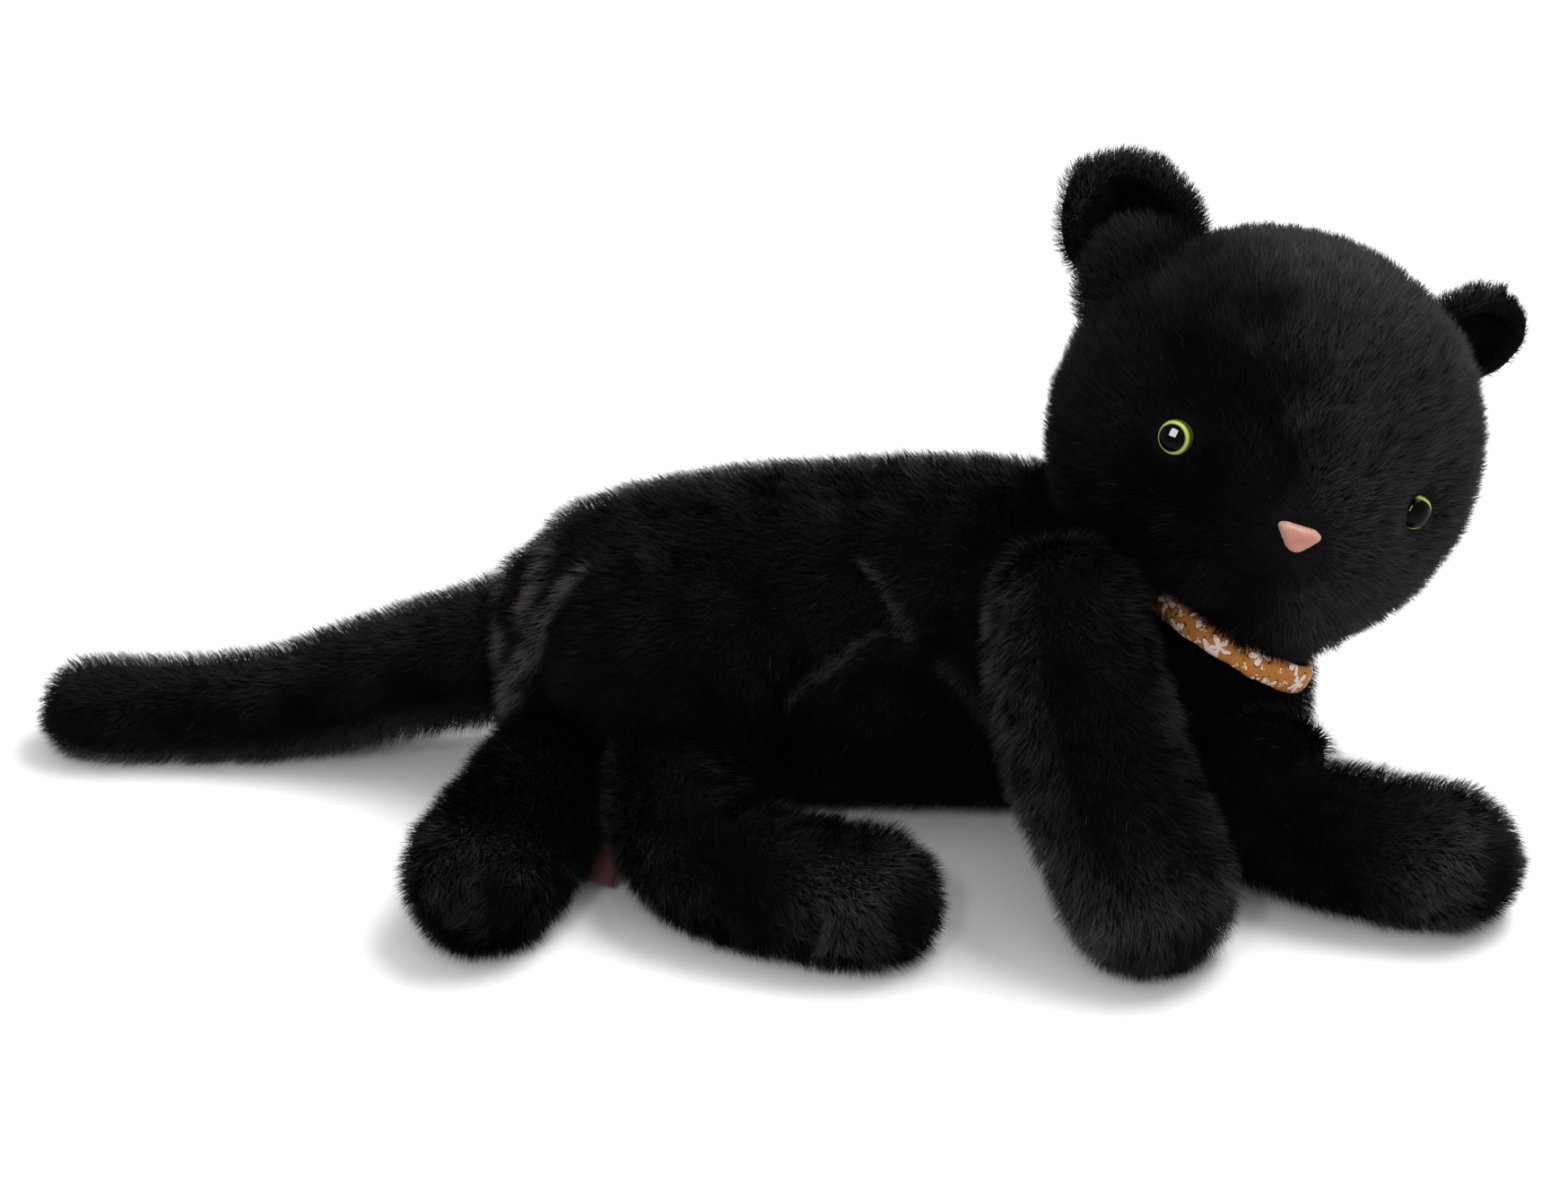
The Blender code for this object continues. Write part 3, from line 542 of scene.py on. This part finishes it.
# Legs. Padded tubes of the same cloth that end in round paws weighted with pellets, sewn into the
# shoulder and hip seams, the pile running down each and fanning over its paw.
PAW_RADIUS = 0.020
for seed, leg in enumerate(LEGS, 20):
    backing_cloth(cloths[leg], leg, f"{leg}_skin")
    swing = next(j for j in frame["joints"] if j["name"] == f"{leg}_swing")
    hip = np.array(swing["pos_m"])
    surface = np.array([v.co for v in cloths[leg].data.vertices])
    toe_end = surface[np.argsort(np.linalg.norm(surface - hip, axis=1))[-60:]].mean(0)
    down_leg = (toe_end - hip) / np.linalg.norm(toe_end - hip)
    paw = toe_end - down_leg * PAW_RADIUS

    def leg_flow(root, normal, paw=paw, down_leg=down_leg):
        fan = unit(root - paw)
        share = np.clip((root - paw) @ down_leg / (PAW_RADIUS / 2) + 0.6, 0, 1)[:, None]
        return unit((1 - share) * down_leg + share * (fan + 0.2 * down_leg))

    def leg_tone(root, normal, paw=paw, down_leg=down_leg):
        # Painted light: the rims at both sides and the ring round each paw are paler as painted rim light,
        # the up-facing pile as painted sheen from the overhead light; the patches differ at random.
        rim = np.clip(-normal[:, 0] - 0.35, 0, 1) + 0.6 * np.clip(normal[:, 0] - 0.6, 0, 1)
        near_paw = np.exp(-((np.linalg.norm(root - paw, axis=1) / (1.2 * PAW_RADIUS)) ** 4))
        toe = near_paw * np.exp(-(((normal @ down_leg - 0.30) / 0.25) ** 2))
        rim += 0.30 * near_paw * np.clip(-normal[:, 1] - 0.1, 0, 1) * (normal[:, 0] < 0.2)
        patches = 0.02 + 0.03 * soft_noise(root, 0.014, 12)
        return patches + 1.1 * rim + 0.50 * toe + 0.18 * skyward(normal, 5)

    grow_pile(f"{leg}_pile", leg, leg, leg_flow, seed, leg_tone, keep=off_floor)

# Head. A stuffed ball of the same cloth, its pile brushed away from the nose on all sides and cut
# shorter round the eyes.
backing_cloth(cloths["head"], "head", "head_skin")
muzzle = np.array(centre("nose_patch") - head_facing * 0.006)
eyes = {side: np.array(centre(f"eye_{side}_dome")) for side in ("left", "right")}


def head_flow(root, normal):
    """Away from the muzzle on all sides, and a little up."""
    return unit(root - muzzle) + 0.35 * np.array(head_up)


def head_length(root, normal):
    """Full pile, clipped short round each eye and over the muzzle."""
    reach = np.full(len(root), PILE_LENGTH)
    for eye in eyes.values():
        away = np.linalg.norm(root - eye, axis=1)
        reach = np.minimum(reach, 0.0026 + np.clip(away - 0.0060, 0, 1) * 0.60)
    away = np.linalg.norm(root - muzzle, axis=1)
    return np.minimum(reach, 0.0030 + np.clip(away - 0.008, 0, 1) * 0.32)


def head_tone(root, normal):
    """Painted sheen: paler on the right of the nose and over the forehead, the side that catches the light,
    and a little toward the head's edge on the other side.
    """
    aside = (root - muzzle) @ np.array(head_side)
    upward = (root - muzzle) @ np.array(head_up)
    lit = np.clip((aside + 0.006 + 0.42 * upward) / 0.018 + 0.35 * soft_noise(root, 0.010, 32), 0, 1)
    front = np.clip(normal @ np.array(head_facing) * 1.5 + 0.4, 0, 1)
    edge = 0.14 * np.clip(np.linalg.norm(root - muzzle, axis=1) / 0.06 - 0.7, 0, 1) * (1 - lit)
    patches = 0.02 + 0.04 * soft_noise(root, 0.012, 31)
    return patches + edge + lit * (0.34 * front + 0.05 * np.clip(normal[:, 2], 0, 1))


def clear_of_face(root, normal):
    """Leaves out the tufts that would grow through an eye or the nose."""
    good = off_floor(root, normal)
    for spot, clear in ((eyes["left"], 0.0044), (eyes["right"], 0.0052), (centre("nose_patch"), 0.0052)):
        good &= np.linalg.norm(root - np.array(spot), axis=1) > clear
    return good


grow_pile(
    "head_pile", "head", "head", head_flow, 3, head_tone,
    length=head_length, keep=clear_of_face, share=1.25, brushed=0.8,
)

# Neck. A wad of filling in a short tube of the same cloth, sewn between head and torso under the
# collar, which lets the head turn.
backing_cloth(cloths["neck"], "neck", "neck_wad")
grow_pile("neck_pile", "neck", "neck", one_way((0.3, -0.3, -0.6)), 4, torso_tone)

# Ears. Two layers of cloth sewn together at the rim and into the crown's seam: long pile behind,
# its tips paler as painted sheen, and a short-cut black lining in front.
for seed, side in enumerate(("left", "right"), 40):
    part = f"ear_{side}"
    backing_cloth(cloths[part], "head", f"{part}_back", f"{part}_lining")
    back_tree, lining_tree = (
        tree_of(frame["nodes"][f"{part}_{layer}"].data) for layer in ("back", "lining")
    )

    def is_lining(root, back_tree=back_tree, lining_tree=lining_tree):
        return np.array([lining_tree.find_nearest(at)[3] < back_tree.find_nearest(at)[3] for at in root])

    def ear_length(root, normal, is_lining=is_lining):
        return np.where(is_lining(root), 0.0045, 0.0075)

    def ear_tone(root, normal, is_lining=is_lining):
        # The back's pile gets painted sheen; the lining stays black.
        return np.where(is_lining(root), 0.02, 0.40)

    grow_pile(
        f"{part}_pile", part, "head", one_way(head_up), seed, ear_tone, length=ear_length, share=1.2
    )

# Eyes. A moulded clear dome with a black pupil in a yellow-green ring painted on its back, on a
# stem that a washer locks inside the head.
EYE_RADIUS = 0.0051
EYE_RISE = 0.0036
EYE_EDGE, EYE_BACK = -0.0004, -0.0030  # the foot of the dome and its flat back, from its rim
EYE_PROUD = {"left": -0.0012, "right": 0.0008}
PUPIL_AT = {"left": (-0.0008, -0.0002), "right": (-0.0003, -0.0003)}
eye_glass, eye_shader = new_material(
    "painted_dome", "#000000", 0.35,
    {"Specular IOR Level": 0.0, "Coat Weight": 0.28, "Coat Roughness": 0.01, "Coat IOR": 1.30},
)
ring_at = add_node(eye_glass, "ShaderNodeAttribute", {"attribute_name": "ring"})
ring_ramp = add_node(eye_glass, "ShaderNodeValToRGB", {}, {"Fac": ring_at.outputs["Fac"]})
stops = ring_ramp.color_ramp.elements
stops[0].position, stops[0].color = 0.0, (*linear("#020203"), 1)
stops[1].position, stops[1].color = 1.0, (*linear("#39401A"), 1)
for where, code in ((0.760, "#020203"), (0.785, "#5E6A2A"), (0.87, "#B4BE58"), (0.95, "#8E9A42")):
    stops.new(where).color = (*linear(code), 1)
joined(eye_glass, eye_shader, "Base Color", ring_ramp.outputs["Color"])
# A lamp that reaches only the eyes gives each its small square highlight.
lit_eyes = bpy.data.collections.new("lit_by_catch_light")
catch_light = place_light("catch_light", (-0.58, -0.74, 0.98), (0.12, -0.05, 0.11), (0.80, 0.90), 300.0)
catch_light.light_linking.receiver_collection = lit_eyes
catch_light.visible_diffuse = False
for side in ("left", "right"):
    dome, washer = (
        np.array([v.co for v in frame["nodes"][f"eye_{side}_{piece}"].data.vertices])
        for piece in ("dome", "washer")
    )
    middle = Vector(dome.mean(0))
    outward = (middle - Vector(washer.mean(0))).normalized()
    dome_foot = ((dome - np.array(middle)) @ np.array(outward)).min()
    base = middle + outward * (dome_foot + EYE_PROUD[side])
    across = head_up.cross(outward).normalized()
    upward = outward.cross(across)
    form = bmesh.new()
    outline = [(0, EYE_BACK), (EYE_RADIUS * 0.90, EYE_BACK), (EYE_RADIUS, EYE_EDGE)]
    for step in range(25):
        angle = math.radians(90 * step / 24)
        outline.append((EYE_RADIUS * math.cos(angle), EYE_RISE * math.sin(angle)))
    profile = [form.verts.new((out, 0, up)) for out, up in outline]
    edges = [form.edges.new(pair) for pair in zip(profile, profile[1:])]
    bmesh.ops.spin(
        form, geom=profile + edges, cent=(0, 0, 0), axis=(0, 0, 1), angle=math.tau, steps=96, use_merge=True
    )
    bmesh.ops.remove_doubles(form, verts=form.verts, dist=1e-6)
    bmesh.ops.recalc_face_normals(form, faces=form.faces)
    shape = bpy.data.meshes.new(f"eye_{side}")
    form.to_mesh(shape)
    form.free()
    local = np.array([v.co for v in shape.vertices])
    from_pupil = local[:, :2] - np.array(PUPIL_AT[side])
    ring = np.linalg.norm(from_pupil, axis=1) / EYE_RADIUS
    ring[local[:, 2] < -0.0001] = 1.0
    if side == "left":  # its paint is thinner on the inner side
        ring -= 0.24 * np.clip(-local[:, 0] / EYE_RADIUS + 0.1, 0, 1)
    shape.attributes.new("ring", "FLOAT", "POINT").data.foreach_set("value", ring.astype(np.float32))
    shape.transform(
        Matrix.Translation(base) @ Matrix((across, upward, outward)).transposed().to_4x4()
    )
    shape.shade_smooth()
    eye = bpy.data.objects.new(f"eye_{side}_glass", shape)
    bpy.context.scene.collection.objects.link(eye)
    shape.materials.append(eye_glass)
    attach(eye, "head")
    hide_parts(f"eye_{side}_dome", f"eye_{side}_iris")
    lit_eyes.objects.link(eye)

# Nose. Satin stitch in pink rayon, worked up and down over a rounded triangle on the face.
def shown(name, mesh, material, body, slot_name, *nodes):
    """Puts a finished mesh in the scene on its body, in place of the CAD nodes it stands for."""
    mesh.shade_smooth()
    piece = bpy.data.objects.new(name, mesh)
    bpy.context.scene.collection.objects.link(piece)
    mesh.materials.append(material)
    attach(piece, body)
    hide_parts(*nodes)
    return piece


NOSE_HALF = (0.0065, 0.0042)
NOSE_CROWN = 0.0028
NOSE_BACK = -0.0022
STITCH = 0.00042  # from one thread to the next
STITCH_RISE = 0.00011
RINGS, SPOKES = 34, 120
rayon, rayon_shader = new_material(
    "rayon_stitch", "#C98A76", 0.42, {"Specular IOR Level": 0.5, "Sheen Weight": 0.3, "Anisotropic": 0.5}
)
stitch_at = add_node(rayon, "ShaderNodeAttribute", {"attribute_name": "stitch"})
# The colour darkens between the threads: painted shade in the grooves of the satin stitch.
shade_ramp = add_node(rayon, "ShaderNodeValToRGB", {}, {"Fac": stitch_at.outputs["Fac"]})
shade_ramp.color_ramp.elements[0].color = (*linear("#6E3A30"), 1)
shade_ramp.color_ramp.elements[1].color = (*linear("#C88C78"), 1)
shade_ramp.color_ramp.elements[1].position = 0.6
joined(rayon, rayon_shader, "Base Color", shade_ramp.outputs["Color"])
# A disc of radius 1, spun from one spoke, with a wall below its rim that marks the back by z = -2.
form = bmesh.new()
spoke = [form.verts.new((ring_number / RINGS, 0, 0)) for ring_number in range(RINGS + 1)]
edges = [form.edges.new(pair) for pair in zip(spoke, spoke[1:])]
bmesh.ops.spin(
    form, geom=spoke + edges, cent=(0, 0, 0), axis=(0, 0, 1), angle=math.tau, steps=SPOKES, use_merge=True
)
bmesh.ops.remove_doubles(form, verts=form.verts, dist=1e-6)
wall = bmesh.ops.extrude_edge_only(form, edges=[e for e in form.edges if e.is_boundary])
for vertex in wall["geom"]:
    if isinstance(vertex, bmesh.types.BMVert):
        vertex.co.z = -2.0
bmesh.ops.contextual_create(form, geom=[e for e in form.edges if e.is_boundary])
bmesh.ops.recalc_face_normals(form, faces=form.faces)
nose_mesh = bpy.data.meshes.new("nose")
form.to_mesh(nose_mesh)
form.free()
local = np.array([v.co for v in nose_mesh.vertices])
out, turned = np.hypot(local[:, 0], local[:, 1]), np.arctan2(local[:, 1], local[:, 0])
from_point = turned + math.pi / 2  # the triangle's point is below
outline = 0.88 + 0.16 * np.cos(3 * from_point) + 0.03 * np.cos(6 * from_point)
along_side = out * outline * np.cos(turned) * NOSE_HALF[0]
along_up = out * outline * np.sin(turned) * NOSE_HALF[1]
thread = np.cos(along_side / STITCH * math.tau)
crown = NOSE_CROWN * np.sqrt(np.clip(1 - out ** 2.6, 0, 1)) + STITCH_RISE * thread * (out < 0.97)
crown = np.where(local[:, 2] < -1, NOSE_BACK, crown)
nose_mesh.attributes.new("stitch", "FLOAT", "POINT").data.foreach_set(
    "value", (0.5 + 0.5 * thread).astype(np.float32)
)
nose_at = np.array(centre("nose_patch") - head_facing * 0.0004)
placed = nose_at + np.stack([along_side, along_up, crown], 1) @ np.array([head_side, head_up, head_facing])
nose_mesh.vertices.foreach_set("co", placed.reshape(-1))
nose_mesh.update()
shown("nose_stitching", nose_mesh, rayon, "head", "nose_thread", "nose_patch")

# Collar. A tube of printed cotton, lightly filled and pressed flat, closed by a sewn joint at the
# nape. It lies loose round the neck seam.
COLLAR_SHIFT = Vector((0.0085, -0.0020, -0.0026))  # it has slipped down from the neck seam
COLLAR_LEAN_DEG = 12.0
COLLAR_RADIUS = 0.0272
COLLAR_HALF_WIDTH = 0.0046
COLLAR_HALF_THICKNESS = 0.0021
COLLAR_SAG = 0.0010
SECTION_POINTS, COLLAR_STEPS = 28, 220
FLOWER_PITCH = 0.0100
OCHRE, PETAL, PETAL_SHADE, OUTLINE, OUTLINE_EDGE = "#BE7B36", "#F6E2D6", "#F0D8C8", "#4A2A1A", "#5A3418"
cotton, cotton_shader = new_material("printed_cotton", OCHRE, 0.85, {"Specular IOR Level": 0.15})


def flower(at, pitch, petals, size, depth):
    """How far a point is from the nearest flower's middle, 1 on the edge of its petals."""
    cells = add_node(
        cotton, "ShaderNodeTexVoronoi",
        {"voronoi_dimensions": "2D", "Scale": 1 / pitch, "Randomness": 0.95}, {"Vector": at},
    )
    away = add_node(
        cotton, "ShaderNodeVectorMath", {"operation": "SUBTRACT"}, {0: at, 1: cells.outputs["Position"]}
    )
    parts = add_node(cotton, "ShaderNodeSeparateXYZ", {}, {"Vector": away.outputs["Vector"]})
    angle = add_node(
        cotton, "ShaderNodeMath", {"operation": "ARCTAN2"}, {0: parts.outputs["Y"], 1: parts.outputs["X"]}
    )
    petal = add_node(
        cotton, "ShaderNodeMath", {"operation": "MULTIPLY_ADD", 1: float(petals)},
        {0: angle.outputs["Value"], 2: cells.outputs["Distance"]},
    )
    wave = add_node(cotton, "ShaderNodeMath", {"operation": "COSINE"}, {0: petal.outputs["Value"]})
    edge = add_node(
        cotton, "ShaderNodeMath", {"operation": "MULTIPLY_ADD", 1: depth * size, 2: (1 - depth) * size},
        {0: wave.outputs["Value"]},
    )
    reach = add_node(cotton, "ShaderNodeVectorMath", {"operation": "LENGTH"}, {0: away.outputs["Vector"]})
    share = add_node(
        cotton, "ShaderNodeMath", {"operation": "DIVIDE"},
        {0: reach.outputs["Value"], 1: edge.outputs["Value"]},
    )
    return share.outputs["Value"]


# The print: pale flowers and small leaves on ochre, each with a dark outline drawn by hand, whose
# line wanders by half a millimetre. The weave is 0.4 mm to the thread.
cloth_at = add_node(cotton, "ShaderNodeAttribute", {"attribute_name": "cloth_at"}).outputs["Vector"]
wander = add_node(cotton, "ShaderNodeTexNoise", {"Scale": 480.0, "Detail": 2.0}, {"Vector": cloth_at})
shake = add_node(
    cotton, "ShaderNodeVectorMath", {"operation": "SCALE", "Scale": 0.0024},
    {"Vector": wander.outputs["Color"]},
)
drawn_at = add_node(
    cotton, "ShaderNodeVectorMath", {"operation": "ADD"}, {0: cloth_at, 1: shake.outputs["Vector"]}
).outputs["Vector"]
blossom = flower(drawn_at, FLOWER_PITCH, 5, FLOWER_PITCH * 0.46, 0.30)
leaf = flower(drawn_at, FLOWER_PITCH * 0.48, 3, FLOWER_PITCH * 0.20, 0.35)
ink = []
for reach, middle in ((blossom, "#A4372C"), (leaf, PETAL)):
    ramp = add_node(cotton, "ShaderNodeValToRGB", {}, {"Fac": reach})
    ends = ramp.color_ramp.elements
    ends[0].color = (*linear(middle), 1)
    ends[1].color = (*linear(OCHRE), 1)
    for where, code in (
        (0.10, middle), (0.14, PETAL), (0.84, PETAL_SHADE),
        (0.88, OUTLINE), (0.96, OUTLINE_EDGE), (0.99, OCHRE),
    ):
        ends.new(where).color = (*linear(code), 1)
    ink.append(ramp.outputs["Color"])
beyond = add_node(cotton, "ShaderNodeMath", {"operation": "GREATER_THAN", 1: 1.0}, {0: blossom})
printed = add_node(
    cotton, "ShaderNodeMix", {"data_type": "RGBA"},
    {"Factor": beyond.outputs["Value"], "A": ink[0], "B": ink[1]},
)
joined(cotton, cotton_shader, "Base Color", printed.outputs["Result"])
weave = add_node(cotton, "ShaderNodeTexNoise", {"Scale": 2600.0, "Detail": 1.0}, {"Vector": cloth_at})
weave_bump = add_node(
    cotton, "ShaderNodeBump", {"Strength": 0.25, "Distance": 0.0002}, {"Height": weave.outputs["Fac"]}
)
joined(cotton, cotton_shader, "Normal", weave_bump.outputs["Normal"])

form = bmesh.new()
section = []
for step in range(SECTION_POINTS):
    angle = math.tau * step / SECTION_POINTS
    out, along_axis = math.cos(angle), math.sin(angle)
    section.append(form.verts.new((
        COLLAR_RADIUS + COLLAR_HALF_THICKNESS * math.copysign(abs(out) ** 0.9, out), 0,
        COLLAR_HALF_WIDTH * math.copysign(abs(along_axis) ** 0.8, along_axis),
    )))
edges = [form.edges.new(pair) for pair in zip(section, section[1:] + section[:1])]
bmesh.ops.spin(
    form, geom=section + edges, cent=(0, 0, 0), axis=(0, 0, 1), angle=math.tau,
    steps=COLLAR_STEPS, use_merge=True,
)
bmesh.ops.remove_doubles(form, verts=form.verts, dist=1e-6)
bmesh.ops.recalc_face_normals(form, faces=form.faces)
collar_mesh = bpy.data.meshes.new("collar")
form.to_mesh(collar_mesh)
form.free()
local = np.array([v.co for v in collar_mesh.vertices])
turned = np.arctan2(local[:, 1], local[:, 0])
radius = np.hypot(local[:, 0], local[:, 1])
inner_side = radius < COLLAR_RADIUS
cloth_flat = np.stack([turned * COLLAR_RADIUS, local[:, 2] + 0.02 * inner_side, 0 * radius], 1)
collar_mesh.attributes.new("cloth_at", "FLOAT_VECTOR", "POINT").data.foreach_set(
    "vector", cloth_flat.astype(np.float32).reshape(-1)
)
ripple = 0.00022 * soft_noise(local, 0.0075, 51) + 0.00012 * soft_noise(local, 0.003, 52)
sag = COLLAR_SAG * np.cos(turned * 2 + 0.8)
radius = radius + ripple * (radius - COLLAR_RADIUS) / COLLAR_HALF_THICKNESS + sag
local = np.stack([radius * np.cos(turned), radius * np.sin(turned), local[:, 2] + ripple], 1)
collar_axis = Matrix.Rotation(math.radians(COLLAR_LEAN_DEG), 3, "Y") @ head_up
collar_right = Vector((1, 0, 0))
collar_right = (collar_right - collar_axis * collar_right.dot(collar_axis)).normalized()
collar_back = collar_axis.cross(collar_right)
collar_middle = np.array(centre("collar_band") + COLLAR_SHIFT)
placed = collar_middle + local @ np.array([collar_right, collar_back, collar_axis])
collar_mesh.vertices.foreach_set("co", placed.reshape(-1))
collar_mesh.update()
collar = shown(
    "collar", collar_mesh, cotton, "torso", "collar_cotton",
    "collar_band", "collar_filler", "collar_joint",
)

# Label. A woven ribbon folded into a loop, its ends caught in the seam of the right hind leg.
# It carries no words, and its twill is a third of a millimetre to the rib.
LABEL_LAYER = 0.00035
LABEL_GAP = 0.0007  # from the loop's middle to each layer
LABEL_CLEAR = 0.0035  # how far its free end stands clear of the pile
LABEL_CURL = 0.0009
ribbon, ribbon_shader = new_material("woven_ribbon", "#74504A", 0.6, {"Specular IOR Level": 0.25})
ribbon_at = add_node(ribbon, "ShaderNodeTexCoord")
twill = add_node(
    ribbon, "ShaderNodeTexWave", {"Scale": 900.0, "Distortion": 0.4}, {"Vector": ribbon_at.outputs["Object"]}
)
twill_bump = add_node(
    ribbon, "ShaderNodeBump", {"Strength": 0.4, "Distance": 0.0002}, {"Height": twill.outputs["Fac"]}
)
joined(ribbon, ribbon_shader, "Normal", twill_bump.outputs["Normal"])
label = np.array([v.co for v in frame["nodes"]["ribbon_label"].data.vertices])
middle = label.mean(0)
_, axes = np.linalg.eigh(np.cov((label - middle).T))
thin_way, wide_way, long_way = axes.T
if long_way @ (middle - np.array(head_centre)) < 0:
    long_way = -long_way
half_long = np.ptp((label - middle) @ long_way) / 2
half_wide = np.ptp((label - middle) @ wide_way) / 2
middle = middle + long_way * LABEL_CLEAR
path = []
for step in range(41):
    share = step / 40
    if share < 0.42:
        path.append((half_long * (2 * 0.93 * share / 0.42 - 1), LABEL_GAP))
    elif share > 0.58:
        path.append((half_long * (2 * 0.93 * (1 - share) / 0.42 - 1), -LABEL_GAP))
    else:
        angle = math.pi * (share - 0.42) / 0.16
        path.append((half_long * 0.86 + 0.0010 * math.sin(angle), LABEL_GAP * math.cos(angle)))
form = bmesh.new()
lines = []
for along_label, out in path:
    lines.append([
        form.verts.new(
            middle + long_way * along_label + wide_way * half_wide * across
            + thin_way * (out + LABEL_CURL * across ** 2 * along_label / half_long)
        )
        for across in np.linspace(-1, 1, 13)
    ])
for one, two in zip(lines, lines[1:]):
    for k in range(len(one) - 1):
        form.faces.new((one[k], one[k + 1], two[k + 1], two[k]))
bmesh.ops.solidify(form, geom=form.faces[:], thickness=LABEL_LAYER)
bmesh.ops.recalc_face_normals(form, faces=form.faces)
label_mesh = bpy.data.meshes.new("label")
form.to_mesh(label_mesh)
form.free()
shown("label_ribbon_loop", label_mesh, ribbon, "hind_leg_right", "label_ribbon", "ribbon_label")

# Filling, pellets, stems and washers. Loose polyester fibre and plastic beads fill the cloths, and
# each eye's moulded stem is locked by a washer. They are inside, and keep their solids.
fibre, fibre_shader = new_material("polyester_fibre", "#DCDCD8", 0.95, {"Specular IOR Level": 0.2})
tangle = add_node(fibre, "ShaderNodeTexNoise", {"Scale": 1200.0, "Detail": 5.0, "Distortion": 2.0})
tangle_bump = add_node(
    fibre, "ShaderNodeBump", {"Strength": 0.8, "Distance": 0.001}, {"Height": tangle.outputs["Fac"]}
)
joined(fibre, fibre_shader, "Normal", tangle_bump.outputs["Normal"])
beads, beads_shader = new_material("plastic_pellets", "#C9CCCE", 0.4)
grains = add_node(beads, "ShaderNodeTexVoronoi", {"Scale": 380.0})  # beads of 2.6 mm
grain_bump = add_node(
    beads, "ShaderNodeBump", {"Strength": 1.0, "Distance": 0.0012, "invert": True},
    {"Height": grains.outputs["Distance"]},
)
joined(beads, beads_shader, "Normal", grain_bump.outputs["Normal"])
black_plastic, _ = new_material("moulded_stem_plastic", "#0A0A0A", 0.35)
white_plastic, _ = new_material("moulded_washer_plastic", "#DEDEDA", 0.45)
inner_materials = {
    "stuffing": fibre, "filler": fibre, "pellets": beads, "pellet_bag": beads,
    "stem": black_plastic, "washer": white_plastic,
}
for name, node in frame["nodes"].items():
    for ending, material in inner_materials.items():
        if name.endswith(ending):
            node.data.materials.clear()
            node.data.materials.append(material)
